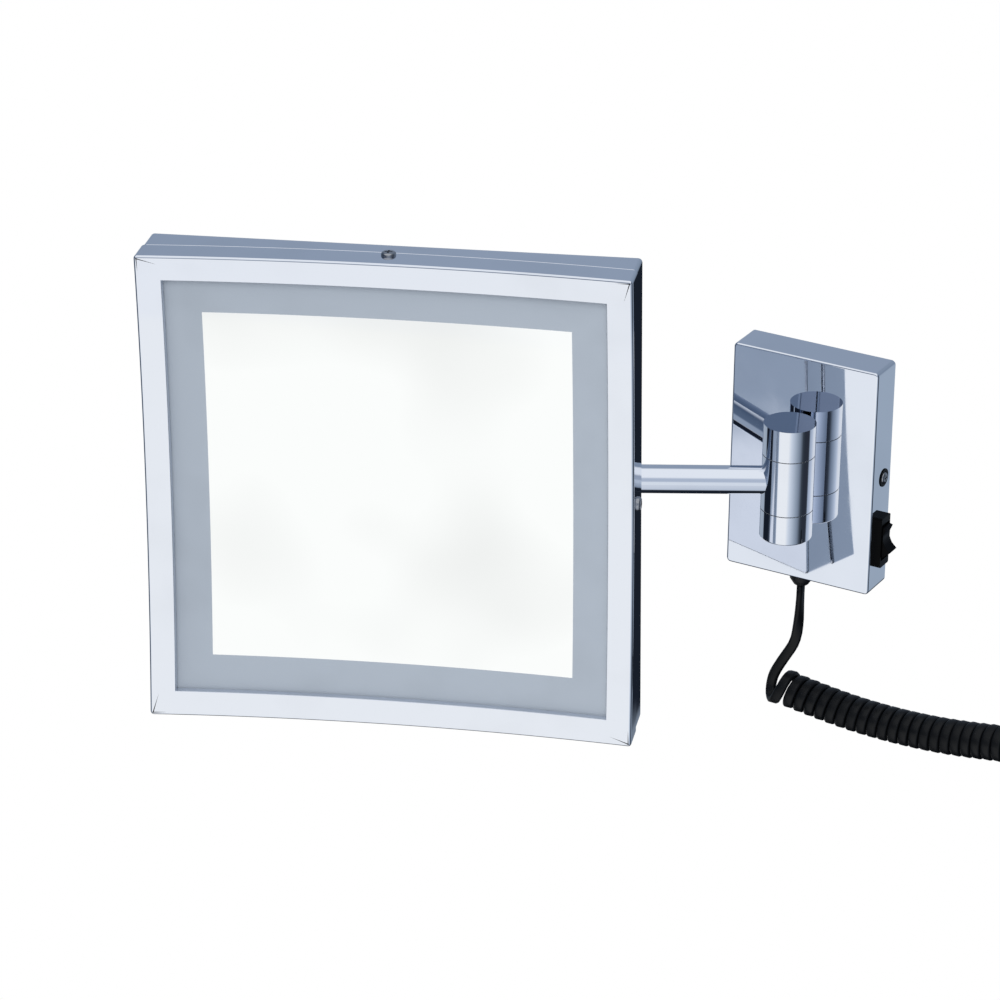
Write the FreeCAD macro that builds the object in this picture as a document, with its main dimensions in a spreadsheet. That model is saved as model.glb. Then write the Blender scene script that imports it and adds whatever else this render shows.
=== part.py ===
"""Wall-mounted lit magnifying mirror: a square dished mirror head with a frosted light band, carried by
one swing arm on a rectangular wall box, with a rocker switch and a curly mains cord.

The document's frame: +Z is up, the wall is the plane Y = 0, the front of the wall box looks towards -Y,
and the origin is the centre of the wall box's back, on the wall. All lengths are millimetres.
"""
import FreeCAD, Part
import math
import os
import re
import Sketcher
import PartDesign
from FreeCAD import Placement, Rotation, Vector

doc = FreeCAD.newDocument("LitWallMirror")
sheet = doc.addObject("Spreadsheet::Sheet", "Sizes")

# ---------------------------------------------------------------------------------------------
# Driving dimensions: each row is alias, value and what it measures
# ---------------------------------------------------------------------------------------------
SIZES = [
    # wall box
    ("coverWidth", 70.6, "wall box, outer width"),
    ("coverHeight", 107.2, "wall box, outer height"),
    ("coverDepth", 17.8, "wall box, from the wall to its front face"),
    ("coverWall", 1.0, "sheet thickness of the wall box"),
    ("coverCorner", 2.0, "radius of the box's corners"),
    ("coverEdge", 1.1, "radius round the front face"),
    ("bracketThick", 1.5, "steel wall bracket, sheet thickness"),
    ("bracketGap", 0.4, "play between the bracket and the box around it"),
    ("flangeDepth", 11.0, "how far the bracket's side flanges stand off the wall"),
    ("flangeHalf", 10.0, "half the height of a side flange"),
    ("wallHoleAcross", 36.0, "wall screw holes, spacing across"),
    ("wallHoleUp", 76.0, "wall screw holes, spacing up"),
    ("wallHoleRadius", 2.3, "wall screw holes, radius"),
    ("sideScrewOut", 6.8, "side screws, distance from the wall"),
    ("sideScrewRadius", 1.5, "side screws, shank radius"),
    ("sideScrewLength", 7.0, "side screws, shank length"),
    ("panHeadRadius", 2.6, "M3 pan head, radius"),
    ("panHeadHeight", 1.5, "M3 pan head, height"),
    ("cupRadius", 3.5, "cup washer, radius of the part in the hole"),
    ("cupRim", 4.2, "cup washer, radius of its rim"),
    ("cupRimThick", 0.4, "cup washer, thickness of rim and floor"),
    ("backingWidth", 44.0, "stiffening plate behind the front face, width"),
    ("backingHeight", 60.0, "stiffening plate, height"),
    ("backingThick", 2.0, "stiffening plate, thickness"),
    # wall pivot
    ("pivotRadius", 11.7, "radius of the three pivot barrels"),
    ("pivotGap", 1.6, "gap between the barrels and the box front"),
    ("knuckleHeight", 25.8, "turning middle barrel, height"),
    ("upperHeight", 14.6, "fixed upper barrel, height"),
    ("lowerHeight", 13.6, "fixed lower barrel, height"),
    ("barrelGap", 0.3, "gap between one barrel and the next"),
    ("barrelEdge", 0.5, "rounding at the barrels' outer ends"),
    ("washerThick", 0.2, "nylon washers in the barrel gaps"),
    ("washerRadius", 10.9, "nylon washers, outer radius"),
    ("footRadius", 4.6, "foot of a fixed barrel on the box front"),
    ("axleRadius", 5.0, "hollow pivot axle, outer radius"),
    ("axleBore", 3.2, "hollow pivot axle, bore radius"),
    ("axleSeat", 9.0, "how far the axle goes into each fixed barrel"),
    ("runningFit", 0.05, "radial clearance of a turning fit"),
    ("closeFit", 0.02, "radial clearance of a fixed fit"),
    ("ringScrewRadius", 2.0, "M4 barrel screws, shank radius"),
    ("ringScrewUp", 20.6, "barrel screws, height above and below the arm"),
    ("ringScrewDepth", 6.5, "barrel screws, reach into the barrel's foot"),
    ("ringHeadRadius", 3.6, "barrel screws, head radius"),
    ("ringHeadHeight", 2.4, "barrel screws, head height"),
    ("wireHoleRadius", 1.6, "wire passage in the lower barrel"),
    ("wireHoleDown", 16.2, "wire passage, depth below the arm"),
    # arm
    ("armLength", 167.7, "wall pivot axis to head swivel axis"),
    ("tubeRadius", 6.35, "arm tube, outer radius"),
    ("tubeWall", 1.2, "arm tube, wall"),
    ("spigotLength", 9.0, "spigots inside the tube's ends"),
    ("armWireHole", 3.0, "wire passage through the spigots"),
    ("leadRadius", 1.1, "low-voltage lead in the arm"),
    ("grubRadius", 1.5, "set screw that locks the tube"),
    ("grubInset", 13.0, "set screw, distance from the swivel axis"),
    ("grubLength", 3.0, "set screw, length"),
    # head swivel and tilt
    ("endRadius", 8.0, "barrel at the arm's end, radius"),
    ("endHeight", 22.0, "barrel at the arm's end, height"),
    ("yokePlate", 3.2, "thickness of the yoke's two cheeks"),
    ("yokeGap", 0.3, "gap between cheek and barrel"),
    ("yokeHalfWidth", 7.0, "half the width of the yoke"),
    ("webThick", 2.2, "thickness of the yoke's web"),
    ("webGap", 0.8, "clearance between barrel and web"),
    ("pinRadius", 4.0, "swivel pin, radius"),
    ("pinHeadRadius", 5.6, "swivel pin, head radius"),
    ("pinHeadHeight", 1.5, "swivel pin, head height"),
    ("clipThick", 1.0, "retaining ring, thickness"),
    ("tiltOut", 15.5, "tilt axis in front of the swivel axis"),
    ("tiltKnuckle", 4.2, "tilt knuckle, radius"),
    ("tiltHalf", 6.0, "tilt knuckle, half length"),
    ("tiltPinRadius", 2.0, "tilt pin, radius"),
    ("lugGap", 0.5, "gap between knuckle and lug"),
    ("lugThick", 3.5, "thickness of the two lugs"),
    ("tiltWasher", 0.4, "spring washers in the lug gaps"),
    ("tiltHeadRadius", 3.4, "tilt pin, head radius"),
    ("tiltHeadHeight", 1.6, "tilt pin, head height"),
    ("tiltStand", 6.7, "tilt axis behind the head's back"),
    ("flangeRadius", 24.0, "round hinge flange on the head's back, radius"),
    ("flangeThick", 1.8, "hinge flange, thickness"),
    ("bossRadius", 22.0, "clamping disc inside the head, radius"),
    ("bossThick", 2.0, "clamping disc, thickness"),
    ("hingeScrewCircle", 36.0, "hinge screws, pitch circle"),
    ("hingeWireHole", 3.0, "wire passage in the hinge flange"),
    # head
    ("headSize", 215.2, "square front frame, outer size"),
    ("headCorner", 1.6, "radius of the frame's corners"),
    ("dishRadius", 997.0, "spherical radius of the dished front"),
    ("lipWidth", 11.45, "width of the frame's front border"),
    ("lipThick", 3.36, "thickness of the front border"),
    ("frameDepth", 14.9, "front border's face to the frame's rear edge"),
    ("frameWall", 1.6, "side walls of the frame"),
    ("frameEdge", 1.2, "rounding of the frame's front edges"),
    ("seamGap", 0.5, "joint between the frame and the rear casing"),
    ("casingInset", 0.4, "step from the frame's side to the casing's"),
    ("casingRear", 20.0, "head's back behind the middle of the dish"),
    ("casingWall", 1.2, "rear casing, sheet thickness"),
    ("casingCorner", 1.8, "rear casing, corner radius"),
    ("casingEdge", 1.0, "rear casing, rounding round the back"),
    ("gasketThick", 0.5, "foam gasket between border and glass"),
    ("gasketInset", 2.4, "gasket edge behind the border's inner edge"),
    ("glassThick", 3.0, "mirror glass, thickness"),
    ("glassPlay", 1.0, "play between glass and frame walls"),
    ("clearSize", 161.0, "clear mirror area inside the frosted band"),
    ("diffuserGap", 0.3, "gap between glass and diffuser"),
    ("diffuserThick", 1.5, "opal diffuser, thickness"),
    ("boardWidth", 10.0, "light strip, board width"),
    ("boardThick", 1.6, "light strip, board thickness"),
    ("boardCentre", 91.0, "light strip centre from the middle of the head"),
    ("boardLength", 168.0, "light strip, length"),
    ("chipLength", 3.5, "light chip, length"),
    ("chipWidth", 2.8, "light chip, width"),
    ("chipThick", 0.8, "light chip, thickness"),
    ("chipPitch", 18.0, "spacing of the light chips"),
    ("tabHalf", 9.0, "fixing tabs, half width"),
    ("tabThick", 2.0, "fixing tabs, thickness"),
    ("tabFront", 3.8, "front edge of a tab behind the middle of the dish"),
    ("frameScrewBack", 5.9, "frame screws behind the middle of the dish"),
    ("frameScrewHead", 3.25, "frame screws, head radius"),
    ("frameScrewRise", 1.5, "frame screws, height of the domed head"),
    ("padSize", 20.0, "foam pads behind the glass, side"),
    ("padCentre", 55.0, "foam pads, distance from the middle both ways"),
    ("padGap", 0.3, "gap between pad and glass"),
    # rest pose
    ("armAngle", 29.6, "arm's angle off the wall, degrees"),
    ("headYaw", 19.3, "head turned from the wall's direction, degrees"),
    ("headTilt", -2.2, "head tilt, degrees, positive looks down"),
    ("headRoll", -1.55, "head turned on its hinge flange, degrees"),
    ("headRise", 9.1, "middle of the head above the tilt axis"),
    # switch
    ("switchDown", 29.2, "switch centre below the origin"),
    ("switchOut", 9.0, "switch centre from the wall"),
    ("bezelHalfHigh", 12.0, "switch bezel, half height"),
    ("bezelHalfWide", 4.4, "switch bezel, half width"),
    ("bezelProud", 3.3, "switch bezel, height above the box side"),
    ("switchHalfHigh", 10.6, "switch body, half height"),
    ("switchHalfWide", 4.0, "switch body, half width"),
    ("switchDeep", 15.0, "switch body, depth inside the box"),
    ("rockerHalfHigh", 8.2, "rocker, half height"),
    ("rockerHalfWide", 3.6, "rocker, half width"),
    ("rockerPlay", 0.25, "gap between rocker and bezel"),
    ("rockerDeep", 1.0, "rocker axis inside the box side"),
    ("rockerReach", 7.4, "rocker's two crests, height above its axis"),
    ("rockerCrest", 5.6, "rocker's two crests, distance from its middle"),
    ("rockerValley", 4.9, "rocker middle, height above its axis"),
    ("rockerRoot", 3.0, "rocker, depth behind its axis"),
    ("rockerLean", 12.0, "rocker lean at rest, degrees"),
    ("rockerPinRadius", 0.8, "rocker trunnions, radius"),
    ("terminalThick", 0.8, "spade terminals, thickness"),
    ("terminalWide", 3.0, "spade terminals, width"),
    ("terminalLong", 5.0, "spade terminals, length"),
    # driver and wiring inside the box
    ("driverWide", 40.0, "light driver case, width"),
    ("driverHigh", 17.0, "light driver case, height"),
    ("driverDeep", 11.0, "light driver case, depth"),
    ("driverWall", 1.0, "light driver case, wall"),
    ("driverUp", 41.5, "light driver centre above the origin"),
    ("driverOut", 2.4, "light driver, distance from the wall"),
    ("driverBoard", 1.2, "light driver, board thickness"),
    ("coilSize", 8.0, "transformer, side"),
    ("coilHigh", 5.0, "transformer, height"),
    ("capRadius", 2.5, "capacitor, radius"),
    ("capLong", 7.0, "capacitor, length"),
    ("blockWide", 16.0, "terminal block, width"),
    ("blockHigh", 10.0, "terminal block, height"),
    ("blockDeep", 8.0, "terminal block, depth"),
    ("blockLeft", 20.0, "terminal block centre, left of the middle"),
    ("blockDown", 40.0, "terminal block centre below the origin"),
    # cable entry, cord and plug
    ("glandLeft", 1.6, "gland centre, left of the middle"),
    ("glandOut", 9.0, "gland centre from the wall"),
    ("glandRadius", 5.2, "gland flange, radius"),
    ("glandFlange", 3.4, "gland flange, height of its straight side"),
    ("glandTaper", 3.0, "gland, height of its taper"),
    ("glandMouth", 3.3, "gland, radius at the cord"),
    ("glandNeck", 3.8, "gland, radius in the box's hole"),
    ("glandBore", 2.4, "gland, bore above the cord"),
    ("glandInside", 6.0, "gland, length inside the box"),
    ("nutRadius", 5.6, "gland nut, outer radius"),
    ("nutHeight", 3.0, "gland nut, height"),
    ("cordRadius", 1.4, "cord's tube, radius: half the flat cord's thickness"),
    ("coilRadius", 8.25, "curly part of the cord, outer radius"),
    ("reliefLength", 12.0, "plug's strain relief, length"),
    ("reliefRadius", 4.6, "plug's strain relief, radius at the plug"),
    ("reliefMouth", 2.9, "plug's strain relief, radius at the cord"),
    ("plugLength", 26.0, "plug, length along the wall"),
    ("plugHigh", 16.0, "plug, height"),
    ("plugDeep", 18.0, "plug, depth off the wall"),
    ("plugEdge", 2.5, "plug, edge rounding"),
    ("bladeApart", 12.7, "plug blades, spacing"),
    ("bladeWide", 6.35, "plug blades, width"),
    ("bladeThick", 1.5, "plug blades, thickness"),
    ("bladeLong", 15.9, "plug blades, length beyond the plug"),
]
for row, (alias, value, meaning) in enumerate(SIZES, start=1):
    sheet.set("A%d" % row, meaning)
    sheet.set("B%d" % row, str(value))
    sheet.setAlias("B%d" % row, alias)
doc.recompute()
ALIASES = {alias for alias, _, _ in SIZES}
WORD = re.compile(r"[A-Za-z]+")


# ---------------------------------------------------------------------------------------------
# Small tools: expressions, primitives, booleans and turned or padded bodies
# ---------------------------------------------------------------------------------------------
def link(formula):
    """The formula with each alias turned into a reference to its cell."""
    return WORD.sub(lambda w: "Sizes." + w[0] if w[0] in ALIASES else w[0], str(formula))


def size(formula):
    """The formula's present value."""
    return float(sheet.evalExpression(link(formula)))


def place_at(obj, corner):
    """Tie an object's position to three formulas."""
    for axis, formula in zip("xyz", corner):
        obj.setExpression("Placement.Base." + axis, link(formula))


def block(name, x, y, z):
    """A box; x, y and z are each a pair: low side and length."""
    box = doc.addObject("Part::Box", name)
    for side, span in zip(("Length", "Width", "Height"), (x, y, z)):
        box.setExpression(side, link(span[1]))
    place_at(box, (x[0], y[0], z[0]))
    return box


def slab(name, x_half, y, z_half):
    """A box centred on X = 0 and Z = 0; y is a pair: low side and length."""
    return block(
        name,
        ("-(%s)" % x_half, "2 * (%s)" % x_half),
        y,
        ("-(%s)" % z_half, "2 * (%s)" % z_half),
    )


TURN_TO = {
    "Z": Rotation(),
    "-Z": Rotation(Vector(1, 0, 0), 180),
    "X": Rotation(Vector(0, 1, 0), 90),
    "-X": Rotation(Vector(0, 1, 0), -90),
    "Y": Rotation(Vector(1, 0, 0), -90),
    "-Y": Rotation(Vector(1, 0, 0), 90),
}


def rod(name, radius, length, start=("0", "0", "0"), along="Z"):
    """A cylinder that starts at a point and runs along an axis."""
    cylinder = doc.addObject("Part::Cylinder", name)
    cylinder.setExpression("Radius", link(radius))
    cylinder.setExpression("Height", link(length))
    cylinder.Placement.Rotation = TURN_TO[along]
    place_at(cylinder, start)
    return cylinder


def cone(name, radius_start, radius_end, length, start, along):
    """A cone frustum that starts at a point and runs along an axis."""
    frustum = doc.addObject("Part::Cone", name)
    frustum.setExpression("Radius1", link(radius_start))
    frustum.setExpression("Radius2", link(radius_end))
    frustum.setExpression("Height", link(length))
    frustum.Placement.Rotation = TURN_TO[along]
    place_at(frustum, start)
    return frustum


def fuse(name, *pieces):
    whole = doc.addObject("Part::MultiFuse", name)
    whole.Shapes = list(pieces)
    whole.Refine = True
    return whole


def cut(name, base, *tools):
    result = doc.addObject("Part::Cut", name)
    result.Base = base
    result.Tool = tools[0] if len(tools) == 1 else fuse(name + "Tools", *tools)
    return result


def common(name, *pieces):
    overlap = doc.addObject("Part::MultiCommon", name)
    overlap.Shapes = list(pieces)
    return overlap


def gather(name, *pieces):
    """Separate solids kept together as one group."""
    bundle = doc.addObject("Part::Compound", name)
    bundle.Links = list(pieces)
    return bundle


def round_edges(name, base, radius, wanted):
    """Fillet every edge of base that wanted(edge) picks."""
    doc.recompute()
    rounded = doc.addObject("Part::Fillet", name)
    rounded.Base = base
    reach = size(radius)
    edges = enumerate(base.Shape.Edges, start=1)
    rounded.Edges = [(number, reach, reach) for number, edge in edges if wanted(edge)]
    return rounded


def runs_along(axis):
    """Picks straight edges that run along an axis, given as 0, 1 or 2."""

    def picked(edge):
        ends = [v.Point for v in edge.Vertexes]
        if len(ends) != 2:
            return False
        step = ends[1] - ends[0]
        return abs(abs(step[axis]) - step.Length) < 1e-6

    return picked


def lies_at(axis, formula):
    """Picks edges that lie wholly in the plane where the axis has this value."""
    level = size(formula)

    def picked(edge):
        low, high = edge.BoundBox, edge.BoundBox
        bottom = (low.XMin, low.YMin, low.ZMin)[axis]
        top = (high.XMax, high.YMax, high.ZMax)[axis]
        return abs(bottom - level) < 1e-5 and abs(top - level) < 1e-5

    return picked


def sketch_on(body, plane, offset="0"):
    """A sketch on one of the body's own origin planes, moved along its normal by a formula."""
    sketch = body.newObject("Sketcher::SketchObject", body.Name + "Sketch")
    support = [p for p in body.Origin.OriginFeatures if p.Role == plane][0]
    sketch.AttachmentSupport = [(support, "")]
    sketch.MapMode = "FlatFace"
    sketch.setExpression("AttachmentOffset.Base.z", link(offset))
    return sketch


def drive(sketch, kind, first, second, formula):
    """A distance from the sketch's origin that follows a formula."""
    number = sketch.addConstraint(
        Sketcher.Constraint(kind, -1, 1, first, second, size(formula))
    )
    sketch.setExpression("Constraints[%d]" % number, link(formula))


def draw_outline(sketch, corners):
    """A closed outline of straight lines whose corners follow pairs of formulas."""
    points = [Vector(size(x), size(y), 0) for x, y in corners]
    count = len(points)
    for i in range(count):
        sketch.addGeometry(Part.LineSegment(points[i], points[(i + 1) % count]), False)
    for i in range(count):
        sketch.addConstraint(Sketcher.Constraint("Coincident", i, 2, (i + 1) % count, 1))
    for i, (x, y) in enumerate(corners):
        drive(sketch, "DistanceX", i, 1, x)
        drive(sketch, "DistanceY", i, 1, y)


def turned(name, profile):
    """A body turned about Z from an outline of radius and height pairs."""
    body = doc.addObject("PartDesign::Body", name)
    sketch = sketch_on(body, "XZ_Plane")
    draw_outline(sketch, profile)
    spin = body.newObject("PartDesign::Revolution", name + "Turned")
    spin.Profile = sketch
    spin.ReferenceAxis = (sketch, ["V_Axis"])
    spin.Angle = 360
    sketch.Visibility = False
    body.Tip = spin
    return body


def padded(name, plane, outline, length, offset="0"):
    """A body padded from an outline, along the normal of its plane."""
    body = doc.addObject("PartDesign::Body", name)
    sketch = sketch_on(body, plane, offset)
    draw_outline(sketch, outline)
    pad = body.newObject("PartDesign::Pad", name + "Pad")
    pad.Profile = sketch
    pad.setExpression("Length", link(length))
    body.Tip = pad
    return body


def moved(obj, pose):
    """The object carried to a pose, on top of the position that its own formulas give it."""
    carrier = doc.addObject("Part::Compound", obj.Name + "Placed")
    carrier.Links = [obj]
    carrier.Placement = pose
    return carrier


NODES = []


def node(label, obj, pose=Placement()):
    """Name a finished sub-part and put it in its place."""
    if obj.ExpressionEngine:
        obj = moved(obj, pose)
    else:
        obj.Placement = pose * obj.Placement
    obj.Label = label
    NODES.append(obj)


def at(x, y, z, rotation=Rotation()):
    """A placement from three formulas."""
    return Placement(Vector(size(x), size(y), size(z)), rotation)


# ---------------------------------------------------------------------------------------------
# Frames of the moving groups at rest
# ---------------------------------------------------------------------------------------------
PIVOT_OUT = "(coverDepth + pivotGap + pivotRadius)"
UP, ACROSS, BACK = Vector(0, 0, 1), Vector(1, 0, 0), Vector(0, 1, 0)
ARM = at("0", "-" + PIVOT_OUT, "0", Rotation(UP, size("armAngle")))
ARM_END = ARM * at("-armLength", "0", "0")
SWIVEL = Placement(ARM_END.Base, Rotation(UP, size("headYaw")))
HINGE = SWIVEL * at("0", "-tiltOut", "0", Rotation(ACROSS, size("headTilt")))
HEAD = HINGE * at("0", "-(tiltStand + casingRear)", "headRise", Rotation(BACK, size("headRoll")))

# ---------------------------------------------------------------------------------------------
# Wall box: bracket, cover, stiffener and their screws
# ---------------------------------------------------------------------------------------------
BRACKET_HALF_WIDE = "(coverWidth / 2 - coverWall - bracketGap)"
BRACKET_HALF_HIGH = "(coverHeight / 2 - coverWall - bracketGap)"


def make_bracket():
    """A steel plate screwed to the wall, with two flanges that take the side screws."""
    plate = slab(
        "BracketPlate", BRACKET_HALF_WIDE, ("-bracketThick", "bracketThick"), BRACKET_HALF_HIGH
    )
    flanges = [
        block(
            "BracketFlange" + side,
            (low, "bracketThick"),
            ("-flangeDepth", "flangeDepth"),
            ("-flangeHalf", "2 * flangeHalf"),
        )
        for side, low in (
            ("Right", BRACKET_HALF_WIDE + " - bracketThick"),
            ("Left", "-" + BRACKET_HALF_WIDE),
        )
    ]
    wall_holes = [
        rod(
            "WallHole%s%s" % (across, up),
            "wallHoleRadius",
            "3 * bracketThick",
            ("%s * wallHoleAcross / 2" % sx, "bracketThick", "%s * wallHoleUp / 2" % sz),
            "-Y",
        )
        for across, sx in (("Right", "1"), ("Left", "-1"))
        for up, sz in (("Top", "1"), ("Bottom", "-1"))
    ]
    thread = rod(
        "BracketThread",
        "sideScrewRadius + closeFit",
        "coverWidth",
        ("-coverWidth / 2", "-sideScrewOut", "0"),
        "X",
    )
    solid = fuse("BracketSolid", plate, *flanges)
    node("wall_bracket", cut("Bracket", solid, thread, *wall_holes))


def make_cover():
    """A pressed five-sided box, open at the wall, with holes for everything that passes through."""
    outer = slab("CoverOuter", "coverWidth / 2", ("-coverDepth", "coverDepth"), "coverHeight / 2")
    soft = round_edges("CoverCorners", outer, "coverCorner", runs_along(1))
    softer = round_edges("CoverFront", soft, "coverEdge", lies_at(1, "-coverDepth"))
    inner = slab(
        "CoverInner",
        "coverWidth / 2 - coverWall",
        ("-coverDepth + coverWall", "coverDepth"),
        "coverHeight / 2 - coverWall",
    )
    holes = [
        rod(
            "CoverSideHoles",
            "cupRadius + closeFit",
            "coverWidth + 2",
            ("-coverWidth / 2 - 1", "-sideScrewOut", "0"),
            "X",
        ),
        block(
            "CoverSwitchHole",
            ("coverWidth / 2 - 2 * coverWall", "3 * coverWall"),
            ("-switchOut - switchHalfWide - closeFit", "2 * (switchHalfWide + closeFit)"),
            ("-switchDown - switchHalfHigh - closeFit", "2 * (switchHalfHigh + closeFit)"),
        ),
        rod(
            "CoverGlandHole",
            "glandNeck + closeFit",
            "3 * coverWall",
            ("-glandLeft", "-glandOut", "-coverHeight / 2 - coverWall"),
            "Z",
        ),
        *front_holes("Cover", "coverDepth + coverWall", "3 * coverWall"),
    ]
    node("wall_cover", cut("Cover", cut("CoverShell", softer, inner), *holes))


def front_holes(name, start, length):
    """Drillings for the two barrel screws and the wires, through a plate behind the front face."""
    radius = "ringScrewRadius + closeFit"
    return [
        rod(name + "TopHole", radius, length, ("0", "-(%s)" % start, "ringScrewUp"), "Y"),
        rod(name + "LowHole", radius, length, ("0", "-(%s)" % start, "-ringScrewUp"), "Y"),
        rod(name + "WireHole", "wireHoleRadius", length, ("0", "-(%s)" % start, "-wireHoleDown"), "Y"),
    ]


def make_backing():
    """A steel plate that spreads the arm's load over the thin front face."""
    plate = slab(
        "BackingPlate",
        "backingWidth / 2",
        ("-coverDepth + coverWall", "backingThick"),
        "backingHeight / 2",
    )
    holes = front_holes("Backing", "coverDepth", "2 * coverWall + backingThick + 1")
    node("backing_plate", cut("Backing", plate, *holes))


def pan_screw(name, head_radius, head_height, shank_radius, length):
    """A screw turned about Z: the head's seat is at Z = 0 and the shank points down."""
    bevel = "(%s / 3)" % head_height
    return turned(
        name,
        [
            ("0", "-(%s)" % length),
            (shank_radius, "-(%s)" % length),
            (shank_radius, "0"),
            (head_radius, "0"),
            (head_radius, "%s - %s" % (head_height, bevel)),
            ("%s - %s" % (head_radius, bevel), head_height),
            ("0", head_height),
        ],
    )


def repeat(label, make, poses, pose=Placement()):
    """One group node from a piece that is made again for each pose."""
    copies = []
    for number, where in enumerate(poses, start=1):
        copies.append(moved(make("%s%d" % (label.title().replace("_", ""), number)), where))
    node(label, gather(label.title().replace("_", "") + "Group", *copies), pose)


def make_ring_screws():
    """Two M4 screws from inside the box into the feet of the fixed barrels."""
    seat = "-coverDepth + coverWall + backingThick"
    reach = "coverWall + backingThick + ringScrewDepth"
    repeat(
        "ring_screws",
        lambda name: pan_screw(name, "ringHeadRadius", "ringHeadHeight", "ringScrewRadius", reach),
        [at("0", seat, up, TURN_TO["Y"]) for up in ("ringScrewUp", "-ringScrewUp")],
    )


CUP_FLOOR = "(coverWidth / 2 - coverWall - bracketGap)"


def make_side_screws():
    """A cup washer in each side of the box, and the screw through it into the bracket's flange."""
    cup_depth = "(coverWall + bracketGap)"

    def cup(name):
        return turned(
            name,
            [
                ("sideScrewRadius + 2 * closeFit", "0"),
                ("cupRadius", "0"),
                ("cupRadius", cup_depth),
                ("cupRim", cup_depth),
                ("cupRim", cup_depth + " + cupRimThick"),
                ("panHeadRadius + 2 * closeFit", cup_depth + " + cupRimThick"),
                ("panHeadRadius + 2 * closeFit", "cupRimThick"),
                ("sideScrewRadius + 2 * closeFit", "cupRimThick"),
            ],
        )

    def screw(name):
        return pan_screw(
            name, "panHeadRadius", "panHeadHeight", "sideScrewRadius", "sideScrewLength"
        )

    right = at(CUP_FLOOR, "-sideScrewOut", "0", TURN_TO["X"])
    left = at("-" + CUP_FLOOR, "-sideScrewOut", "0", TURN_TO["-X"])
    seat = at("0", "0", "cupRimThick")
    repeat("cup_washers", cup, [right, left])
    repeat("side_screws", screw, [right * seat, left * seat])


# ---------------------------------------------------------------------------------------------
# Wall pivot: two fixed barrels, the axle and the washers
# ---------------------------------------------------------------------------------------------
FIXED_START = "(knuckleHeight / 2 + barrelGap)"


def make_fixed_barrel(label, name, height, side):
    """A barrel with a foot on the box front; side is 1 for the upper one and -1 for the lower."""
    out = "-" + PIVOT_OUT
    along = "Z" if side > 0 else "-Z"
    sign = "" if side > 0 else "-"
    barrel = rod(name + "Barrel", "pivotRadius", height, ("0", out, sign + FIXED_START), along)
    end = sign + "(%s + %s)" % (FIXED_START, height)
    soft = round_edges(name + "Soft", barrel, "barrelEdge", lies_at(2, end))
    foot = rod(
        name + "Foot",
        "footRadius",
        PIVOT_OUT + " - coverDepth",
        ("0", out, sign + "ringScrewUp"),
        "Y",
    )
    bores = [
        rod(
            name + "Seat",
            "axleRadius + closeFit",
            "axleSeat",
            ("0", out, sign + FIXED_START),
            along,
        ),
        rod(
            name + "Thread",
            "ringScrewRadius + closeFit",
            "ringScrewDepth",
            ("0", "-coverDepth", sign + "ringScrewUp"),
            "-Y",
        ),
    ]
    if side < 0:
        bores.append(
            rod(
                name + "WirePassage",
                "wireHoleRadius",
                PIVOT_OUT + " - coverDepth",
                ("0", out, "-wireHoleDown"),
                "Y",
            )
        )
    node(label, cut(name, fuse(name + "Solid", soft, foot), *bores))


def make_axle():
    """A hollow steel axle held in both fixed barrels, open at the front so that the lead gets out."""
    out = "-" + PIVOT_OUT
    half = "(%s + axleSeat - barrelGap)" % FIXED_START
    tube = rod("AxleTube", "axleRadius", "2 * " + half, ("0", out, "-" + half))
    bore = rod("AxleBore", "axleBore", "2 * %s + 2" % half, ("0", out, "-%s - 1" % half))
    window = block(
        "AxleWindow",
        ("-2 * axleRadius", "4 * axleRadius"),
        (out + " - 2 * axleRadius", "2 * axleRadius"),
        ("-armWireHole - 1", "2 * (armWireHole + 1)"),
    )
    passage = rod(
        "AxlePassage", "wireHoleRadius", "2 * axleRadius", ("0", out, "-wireHoleDown"), "Y"
    )
    node("pivot_axle", cut("Axle", tube, bore, window, passage))


def washer(name, bore, radius, thick):
    """A flat ring turned about Z, its underside at Z = 0."""
    return turned(name, [(bore, "0"), (radius, "0"), (radius, thick), (bore, thick)])


def make_pivot_washers():
    """Nylon washers that set the friction of the arm."""
    low = "(knuckleHeight / 2 + (barrelGap - washerThick) / 2)"
    repeat(
        "pivot_washers",
        lambda name: washer(name, "axleRadius + closeFit", "washerRadius", "washerThick"),
        [
            at("0", "-" + PIVOT_OUT, low),
            at("0", "-" + PIVOT_OUT, "-%s - washerThick" % low),
        ],
    )


# ---------------------------------------------------------------------------------------------
# Switch on the right side of the box
# ---------------------------------------------------------------------------------------------
SWITCH = at("coverWidth / 2", "-switchOut", "-switchDown")


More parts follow.
